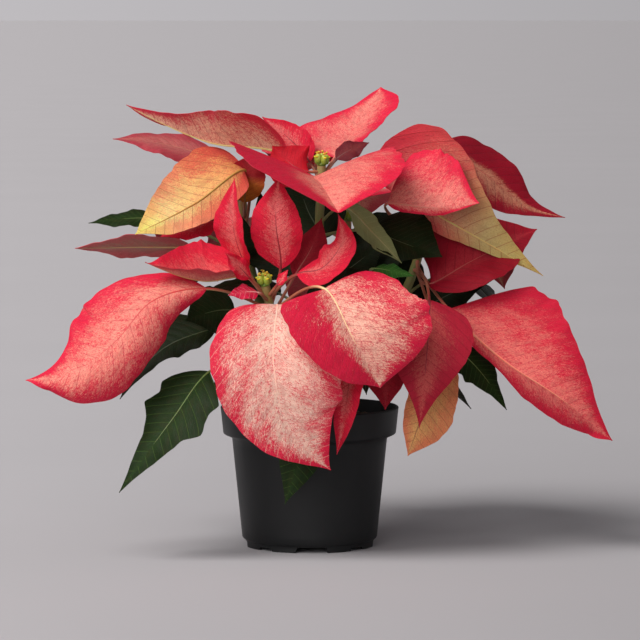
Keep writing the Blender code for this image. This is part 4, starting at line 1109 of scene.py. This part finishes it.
def floor_material():
    n = Nodes("studio_grey")
    where = n.node("ShaderNodeTexCoord").outputs["Object"]
    # Painted light: the grey is made darker from left to right, a painted fall-off of the light.
    reach = n.math("MAXIMUM", n.math("ADD", n.axis(where, 1), FLOOR_FAN), FLOOR_LEAST_FAN)
    across = n.math("DIVIDE", n.axis(where, 0), reach)
    across = n.math("MINIMUM", n.math("MAXIMUM", across, -FLOOR_WIDEST), FLOOR_WIDEST)
    bright = n.math("MULTIPLY_ADD", across, -FLOOR_FALL, 1.0)
    paler = tuple(1.02 * c for c in FLOOR_COLOUR)
    grey = n.mix(n.span(n.noise(where, 3.0, 2.0), 0.3, 0.7), FLOOR_COLOUR, paler)
    level = n.node("ShaderNodeCombineXYZ")
    for index in range(3):
        n.put(bright, level.inputs[index])
    return n.finish(n.mix(1.0, grey, level.outputs[0], "MULTIPLY"), 0.9)


# The scene.


def add_camera():
    data = bpy.data.cameras.new("camera")
    data.sensor_width = SENSOR
    data.lens = SENSOR * FOCAL_PIXELS / PICTURE_PIXELS
    data.clip_end = 1000
    camera = bpy.data.objects.new("camera", data)
    camera.location = CAMERA_AT
    camera.rotation_euler = (math.radians(90 - CAMERA_PITCH), 0, 0)
    bpy.context.scene.collection.objects.link(camera)
    bpy.context.scene.camera = camera


def add_sky():
    """A soft sky: a pale band at the horizon, dimmer above, with a wide soft light from the front."""
    world = bpy.data.worlds.new("studio")
    bpy.context.scene.world = world
    world.use_nodes = True
    n = Tree(world.node_tree)
    way = n.node("ShaderNodeTexCoord").outputs["Generated"]
    low = n.span(n.math("ABSOLUTE", n.axis(way, 2)), *HORIZON_BAND, 1.0, 0.0)
    behind = n.span(n.axis(way, 1), *HORIZON_WIDTH)
    behind = n.math("MULTIPLY", behind, n.span(n.axis(way, 0), -0.2, 0.2, 1.0, HORIZON_FALL))
    sky = n.mix(n.math("MULTIPLY", low, behind), SKY_COLOUR, HORIZON_COLOUR)
    towards = n.node("ShaderNodeVectorMath", operation="DOT_PRODUCT")
    n.put(way, towards.inputs[0])
    towards.inputs[1].default_value = Vector(FRONT_LIGHT).normalized()
    glow = n.mix(n.span(towards.outputs["Value"], *FRONT_SPREAD), (0.0, 0.0, 0.0), FRONT_COLOUR)
    background = world.node_tree.nodes["Background"]
    n.put(n.mix(1.0, sky, glow, "ADD"), background.inputs["Color"])
    background.inputs["Strength"].default_value = 1.0


def add_key():
    data = bpy.data.lights.new("key", "SUN")
    data.energy = KEY_STRENGTH
    data.angle = math.radians(KEY_ANGLE)
    data.color = KEY_COLOUR
    lamp = bpy.data.objects.new("key", data)
    lamp.rotation_euler = Vector(KEY_FROM).to_track_quat("Z", "Y").to_euler()
    bpy.context.scene.collection.objects.link(lamp)


def add_light():
    add_sky()
    add_key()
    bpy.context.scene.view_settings.view_transform = "Standard"
    bpy.context.scene.view_settings.look = "None"


def add_floor():
    """A plain floor that runs out to the horizon, as rings that widen outwards."""
    points = [(0, 0, 0)]
    faces = fan_faces(FLOOR_SIDES)
    for index, radius in enumerate(FLOOR_RINGS):
        points += ring_points(radius, 0, FLOOR_SIDES)
        if index:
            first = 1 + (index - 1) * FLOOR_SIDES
            faces += ring_faces(first, first + FLOOR_SIDES, FLOOR_SIDES, turned=True)
    floor = add_mesh("floor", np.array(points) / MM, faces, floor_material())


def pot_line():
    """The pot's section, from the middle below, out, up, and in to the middle above, rounded at the rim."""
    ledge = POT_HEIGHT - RIM_BAND
    band = RIM_RADIUS - RIM_TAPER
    body_low = FOOT_HEIGHT + FOOT_CHAMFER
    body_high = ledge - SHOULDER_CHAMFER
    rim = []
    for k in range(RIM_STEPS + 1):
        a = math.pi / 2 * k / RIM_STEPS
        radius = RIM_RADIUS - RIM_ROUND + RIM_ROUND * math.cos(a)
        rim.append((radius, POT_HEIGHT - RIM_ROUND + RIM_ROUND * math.sin(a)))
    outside = [
        (FOOT_RADIUS, 0),
        (FOOT_RADIUS + 0.05, 2.0),
        (FOOT_RADIUS + 0.1, FOOT_HEIGHT - 0.3),
        (FOOT_RADIUS + 0.3, FOOT_HEIGHT),
        (BODY_FOOT_RADIUS - 0.5, FOOT_HEIGHT + FOOT_CHAMFER * 0.6),
        (BODY_FOOT_RADIUS, body_low + 0.4),
    ]
    for k in range(1, BODY_STEPS):
        z = body_low + (body_high - body_low) * k / BODY_STEPS
        radius = float(np.interp(z, [body_low, body_high], [BODY_FOOT_RADIUS, SHOULDER_RADIUS]))
        outside.append((radius, z))
    outside += [
        (SHOULDER_RADIUS, body_high - 0.4),
        (SHOULDER_RADIUS + 0.5, body_high + 0.3),
        (band - 0.9, ledge - 0.45),
        (band - 0.25, ledge),
        (band, ledge + 0.5),
        (band + RIM_TAPER * 0.35, ledge + RIM_BAND * 0.35),
        (band + RIM_TAPER * 0.7, ledge + RIM_BAND * 0.7),
    ]
    inside = [
        (RIM_RADIUS - WALL, POT_HEIGHT),
        (RIM_RADIUS - WALL - 0.1, POT_HEIGHT - 0.5),
        (band - WALL, ledge + WALL),
        (SHOULDER_RADIUS - WALL, ledge - 1),
        (BODY_FOOT_RADIUS - WALL, FOOT_HEIGHT + WALL),
    ]
    return outside + rim + inside


def notch_height(degrees):
    """How far the foot's edge is raised at a place round the pot, in millimetres."""
    raised = 0.0
    for count, width, height, first in FOOT_NOTCHES:
        period = 360.0 / count
        off = abs((degrees - first + period / 2) % period - period / 2)
        raised = max(raised, height * float(np.clip((width / 2 - off) / 0.8 + 0.5, 0, 1)))
    return raised


def foot_raised(points):
    """Points of the foot ring with those in a notch raised to its height."""
    turns = [math.degrees(2 * math.pi * k / POT_SIDES) for k in range(POT_SIDES)]
    return [(x, y, max(z, notch_height(turn))) for (x, y, z), turn in zip(points, turns)]


def make_pot():
    """The pot: a turned shell whose foot ring is raised at its notches, with holes through its floor."""
    foot_inner = FOOT_RADIUS - WALL
    rings = [(foot_inner, FOOT_HEIGHT), (foot_inner, 2.0), (foot_inner, 0.0)] + pot_line()
    points, faces = [], []
    for radius, z in rings:
        ring = ring_points(radius, z, POT_SIDES)
        on_foot = radius <= FOOT_RADIUS + 0.2 and z < FOOT_HEIGHT
        points += foot_raised(ring) if on_foot else ring
    # The gate, a shallow stub, stands in the middle of the floor's underside.
    gate_low = len(points)
    points += ring_points(GATE_RADIUS, FOOT_HEIGHT, POT_SIDES)
    points += ring_points(GATE_RADIUS - GATE_DRAFT, 0.0, POT_SIDES)
    for i in range(len(rings) - 1):
        faces += ring_faces(i * POT_SIDES, (i + 1) * POT_SIDES, POT_SIDES)
    faces += ring_faces(gate_low, 0, POT_SIDES)
    faces += ring_faces(gate_low + POT_SIDES, gate_low, POT_SIDES)
    faces.append(lid(gate_low + POT_SIDES, POT_SIDES)[::-1])
    faces.append(lid((len(rings) - 1) * POT_SIDES, POT_SIDES))
    pot = add_mesh("nursery_pot", points, faces, pot_material())
    bpy.context.view_layer.update()
    size = {"vertices": DRAIN_SIDES, "radius": DRAIN_RADIUS * MM, "depth": 4 * WALL * MM}
    for k in range(DRAIN_COUNT):
        a = 2 * math.pi * (k + 0.5) / DRAIN_COUNT
        middle = (DRAIN_RING * math.cos(a) * MM, DRAIN_RING * math.sin(a) * MM, (FOOT_HEIGHT + WALL / 2) * MM)
        bpy.ops.mesh.primitive_cylinder_add(**size, location=middle)
        cutter = bpy.context.object
        cut = pot.modifiers.new("drain", "BOOLEAN")
        cut.object = cutter
        cut.operation = "DIFFERENCE"
        cut.solver = "EXACT"
        bpy.context.view_layer.update()
        mesh = bpy.data.meshes.new_from_object(pot.evaluated_get(bpy.context.evaluated_depsgraph_get()))
        pot.modifiers.clear()
        pot.data = mesh
        bpy.data.objects.remove(cutter)
    settle(pot, "pot_plastic", "pot")


def make_soil():
    """Potting mix: a rough crumbly top on a plain body."""
    points = [(0, 0, SOIL_TOP)]
    for i in range(1, SOIL_RINGS + 1):
        r = SOIL_RADIUS * i / SOIL_RINGS
        for x, y, z in ring_points(r, SOIL_TOP, SOIL_SIDES):
            rough = noise.fractal(Vector((x * 0.16, y * 0.16, 3.1)), 0.9, 2.1, 4)
            lift = SOIL_MOUND * math.exp(-(r / SOIL_MOUND_WIDTH) ** 2) + SOIL_ROUGHNESS * rough * 0.5
            points.append((x, y, z + float(np.clip(lift, SOIL_LOWEST, SOIL_HIGHEST))))
    for radius, z in SOIL_BODY:
        points += ring_points(radius, z, SOIL_SIDES)
    faces = fan_faces(SOIL_SIDES)
    last = 1 + (SOIL_RINGS + len(SOIL_BODY) - 1) * SOIL_SIDES
    for first in range(1, last, SOIL_SIDES):
        faces += ring_faces(first, first + SOIL_SIDES, SOIL_SIDES, turned=True)
    faces.append(lid(last, SOIL_SIDES)[::-1])
    finish = soil_material()
    soil = add_mesh("potting_soil", points, faces, finish)
    settle(soil, "soil", "soil")
    make_crumbs(finish)


def make_crumbs(finish):
    """Loose knobby grains that lie on the soil."""
    rng = np.random.RandomState(CRUMB_SEED)
    shapes = bmesh.new()
    for _ in range(CRUMB_COUNT):
        r, a = (SOIL_RADIUS - 3) * math.sqrt(rng.uniform(0.02, 1)), rng.uniform(0, 2 * math.pi)
        size = rng.uniform(*CRUMB_SIZES) * rng.uniform(0.5, 1)
        start = len(shapes.verts)
        bmesh.ops.create_icosphere(shapes, subdivisions=2, radius=size)
        shapes.verts.ensure_lookup_table()
        flat = rng.uniform(0.5, 0.9)
        for v in shapes.verts[start:]:
            knobby = 1 + 0.35 * noise.noise(v.co * 0.9 + Vector((r, a, size)))
            v.co = Vector((v.co.x * knobby, v.co.y * knobby, v.co.z * knobby * flat))
            v.co += Vector((r * math.cos(a), r * math.sin(a), SOIL_TOP + 0.2))
    shapes.verts.ensure_lookup_table()
    crumb_points = [tuple(v.co) for v in shapes.verts]
    crumb_faces = [tuple(v.index for v in f.verts) for f in shapes.faces]
    shapes.free()
    crumbs = add_mesh("soil_crumbs", crumb_points, crumb_faces, finish)
    settle(crumbs, "soil", "soil")


def stem_arrays(line, start, end, radii, seed, low_colour, high_colour):
    """A stem: a tube with slight swellings where leaves grow or grew."""
    length = chord_length(line) * (end - start)
    count = max(12, int(length / STEM_STEP))
    at = np.linspace(start, end, count)
    place, way = smooth_curve(line, at)
    first = np.array([1.0, 0, 0])
    points, colours, grain = [], [], []
    for index, (p, w) in enumerate(zip(place, way)):
        first = unit(first - (first @ w) * w)
        other = np.cross(w, first)
        share = index / (count - 1)
        along = share * length
        radius = radii[0] + (radii[1] - radii[0]) * share
        from_swelling = (along / SWELLING_SPACING) % 1 - 0.5
        radius *= 1 + SWELLING * math.exp(-(from_swelling / SWELLING_WIDTH) ** 2)
        for k in range(STEM_SIDES):
            a = 2 * math.pi * k / STEM_SIDES
            ridge = 1 + 0.03 * math.sin(5 * a + 0.3 * along + seed) + 0.015 * math.sin(9 * a - 0.2 * along)
            points.append(p + radius * ridge * (math.cos(a) * first + math.sin(a) * other))
            colours.append(np.array(low_colour) * (1 - share) + np.array(high_colour) * share)
            grain.append((along, 1.6 * a, seed))
    faces = tube_faces(count, STEM_SIDES)
    return np.array(points), faces, {"tint": np.array(colours), "grain": np.array(grain)}


def make_stems(stalk):
    line = [(0, 0, TRUNK_FOOT), (0, 0, TRUNK_TOP)]
    arrays = stem_arrays(line, 0, 1, (TRUNK_RADIUS, TRUNK_RADIUS * 0.93), 1, WOODY, WOODY)
    settle(add_mesh("trunk", *arrays[:2], stalk, arrays[2]), "leaf", "leafy_stem")
    for index, (branch, line) in enumerate(BRANCHES.items()):
        bloom = 1 - HEAD_LENGTH / chord_length(line)
        radii = (STEM_RADIUS * 1.15, STEM_RADIUS)
        lower = stem_arrays(line, 0, bloom, radii, 3 + index, WOODY, GREEN_STEM)
        settle(add_mesh("branch_" + branch, *lower[:2], stalk, lower[2]), "leaf", "leafy_stem")
        radii = (STEM_RADIUS, STEM_RADIUS * 0.97)
        upper = stem_arrays(line, bloom, 1, radii, 3 + index, GREEN_STEM, TENDER_STEM)
        settle(add_mesh("bloom_stem_" + branch, *upper[:2], stalk, upper[2]), "bract", "bloom_" + branch)


def drawn_in(points):
    """Points with the foremost drawn back a little, so that none stands before the model's front."""
    points = np.array(points, float)
    points[:, 1] -= FRONT_GIVE * np.minimum(points[:, 1] - FRONT_START, 0)
    return points


def make_leaves(stalk):
    bract_skin = blade_material("bract_skin", 0.6, 0.045, 0.8, 0.2, 0.14)
    leaf_skin = blade_material("leaf_skin", 0.5, 0.045, 0.35, 0.03, 0.1)
    groups = [("bloom_" + branch, "bract", leaves, bract_skin) for branch, leaves in BLOOMS.items()]
    groups.append(("leafy_stem", "leaf", GREEN_LEAVES, leaf_skin))
    for node, slot, leaves, skin in groups:
        for one in leaves:
            kind = "bract_" if slot == "bract" else "leaf_"
            points, faces, attributes = leaf_arrays(one)
            settle(add_mesh(kind + one.name, drawn_in(points), faces, skin, attributes), slot, node)
            points, faces, attributes = rib_arrays(one)
            settle(add_mesh("petiole_" + one.name, drawn_in(points), faces, stalk, attributes), slot, node)


def turned_arrays(line, sides, centre, stretch=(1, 1)):
    """A turned shape, round on the axis at centre: rows of radius and height, from below to above."""
    points = []
    for radius, z in line:
        for k in range(sides):
            a = 2 * math.pi * k / sides
            points.append((radius * stretch[0] * math.cos(a), radius * stretch[1] * math.sin(a), z))
    return np.array(points) + np.array(centre, float), tube_faces(len(line), sides)


def rounded_line(rows, steps=4):
    """Rows of radius and height with smooth rows between them."""
    where = np.arange(len(rows))
    at = np.linspace(0, len(rows) - 1, (len(rows) - 1) * steps + 1)
    radius = np.clip(smooth_rows(at, where, [row[0] for row in rows]), 0.02, None)
    height = smooth_rows(at, where, [row[1] for row in rows])
    return list(zip(radius, height))


def blob_line(radius, height):
    """The side of a small ellipsoid."""
    turns = [math.pi * k / BLOB_STEPS for k in range(BLOB_STEPS + 1)]
    return [(max(radius * math.sin(a), 0.02), height * (1 - math.cos(a)) / 2) for a in turns]


def one_tint(colour, points):
    return np.array([colour]).repeat(len(points), 0)


def cyathium_parts(rng, k):
    """Pieces of one cyathium as points, faces and tint: its cup, gland, stamens and anthers."""
    a = 2 * math.pi * (k + CUP_TURN) / CUP_COUNT
    x, y, z = math.cos(a), math.sin(a), GAP + CUP_LIFTS[k % 2]
    cup, faces = turned_arrays(rounded_line(CUP_LINE), CUP_SIDES, (CUP_RING * x, CUP_RING * y, z))
    rise = np.clip((cup[:, 2:] - z) / CUP_LINE[-2][1], 0, 1)
    parts = [(cup, faces, np.array(CUP_LOW) * (1 - rise) + np.array(CUP_HIGH) * rise)]
    out = CUP_RING + GLAND_REACH
    gland, faces = turned_arrays(blob_line(GLAND_RADIUS, GLAND_THICKNESS), GLAND_SIDES, (0, 0, 0))
    dent = GLAND_DENT * np.exp(-(gland[:, 0] ** 2 + gland[:, 1] ** 2) / 0.4) * (gland[:, 2] > 0.8)
    gland[:, 2] -= dent
    gland += np.array((out * x, out * y, z + GLAND_HEIGHT))
    parts.append((gland, faces, one_tint(GLAND_COLOUR, gland)))
    foot = np.array((CUP_RING * x, CUP_RING * y, z + STAMEN_FOOT))
    for _ in range(STAMENS):
        turn = rng.uniform(0, 2 * math.pi)
        lean = rng.uniform(*STAMEN_LEANS)
        length = rng.uniform(*STAMEN_LENGTHS)
        way = unit(np.array((lean * math.cos(turn), lean * math.sin(turn), 1.0)))
        thread, faces = turned_arrays([(STAMEN_RADIUS, 0.0), (STAMEN_RADIUS, 1.0)], STAMEN_SIDES, (0, 0, 0))
        spread = foot + thread[:, :1] * (1, 0, 0) + thread[:, 1:2] * (0, 1, 0) + thread[:, 2:] * way * length
        parts.append((spread, faces, one_tint(STAMEN_COLOUR, spread)))
        blob = blob_line(ANTHER_RADIUS, ANTHER_HEIGHT)
        anther, faces = turned_arrays(blob, ANTHER_SIDES, (0, 0, -0.3), ANTHER_STRETCH)
        anther += foot + way * length
        parts.append((anther, faces, one_tint(ANTHER_COLOUR, anther)))
    return parts


def make_cyathia():
    """The true flowers: a knob on each stem's end with a ring of cups, each with its gland and stamens."""
    finish = cyathium_material()
    for index, branch in enumerate(BRANCHES):
        rng = np.random.RandomState(CYATHIA_SEED + index)
        knob, faces = turned_arrays(rounded_line(KNOB_LINE), CUP_SIDES, (0, 0, GAP))
        parts = [(knob, faces, one_tint(CUP_LOW, knob))]
        for k in range(CUP_COUNT):
            parts += cyathium_parts(rng, k)
        points, all_faces, tints, count = [], [], [], 0
        for part_points, part_faces, tint in parts:
            points.append(part_points)
            all_faces += [tuple(count + v for v in face) for face in part_faces]
            tints.append(tint)
            count += len(part_points)
        points = np.concatenate(points)
        place, way = smooth_curve(BRANCHES[branch], [1.0])
        first = unit(np.cross([0, 1.0, 0], way[0]))
        turn = np.stack([first, np.cross(way[0], first), way[0]])
        attributes = {"tint": np.concatenate(tints), "grain": points}
        made = add_mesh("cyathia_cups_" + branch, points @ turn + place[0], all_faces, finish, attributes)
        settle(made, "cyathia", "cyathia_" + branch)


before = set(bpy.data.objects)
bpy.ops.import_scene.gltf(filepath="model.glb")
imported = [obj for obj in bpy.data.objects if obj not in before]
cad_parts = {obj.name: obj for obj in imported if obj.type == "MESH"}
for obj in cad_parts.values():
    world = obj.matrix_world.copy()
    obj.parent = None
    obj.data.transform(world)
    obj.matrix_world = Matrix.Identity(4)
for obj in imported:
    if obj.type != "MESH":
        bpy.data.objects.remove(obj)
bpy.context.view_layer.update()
add_camera()
add_light()
add_floor()
stalk_finish = stalk_material()
make_pot()
make_soil()
make_stems(stalk_finish)
make_leaves(stalk_finish)
make_cyathia()
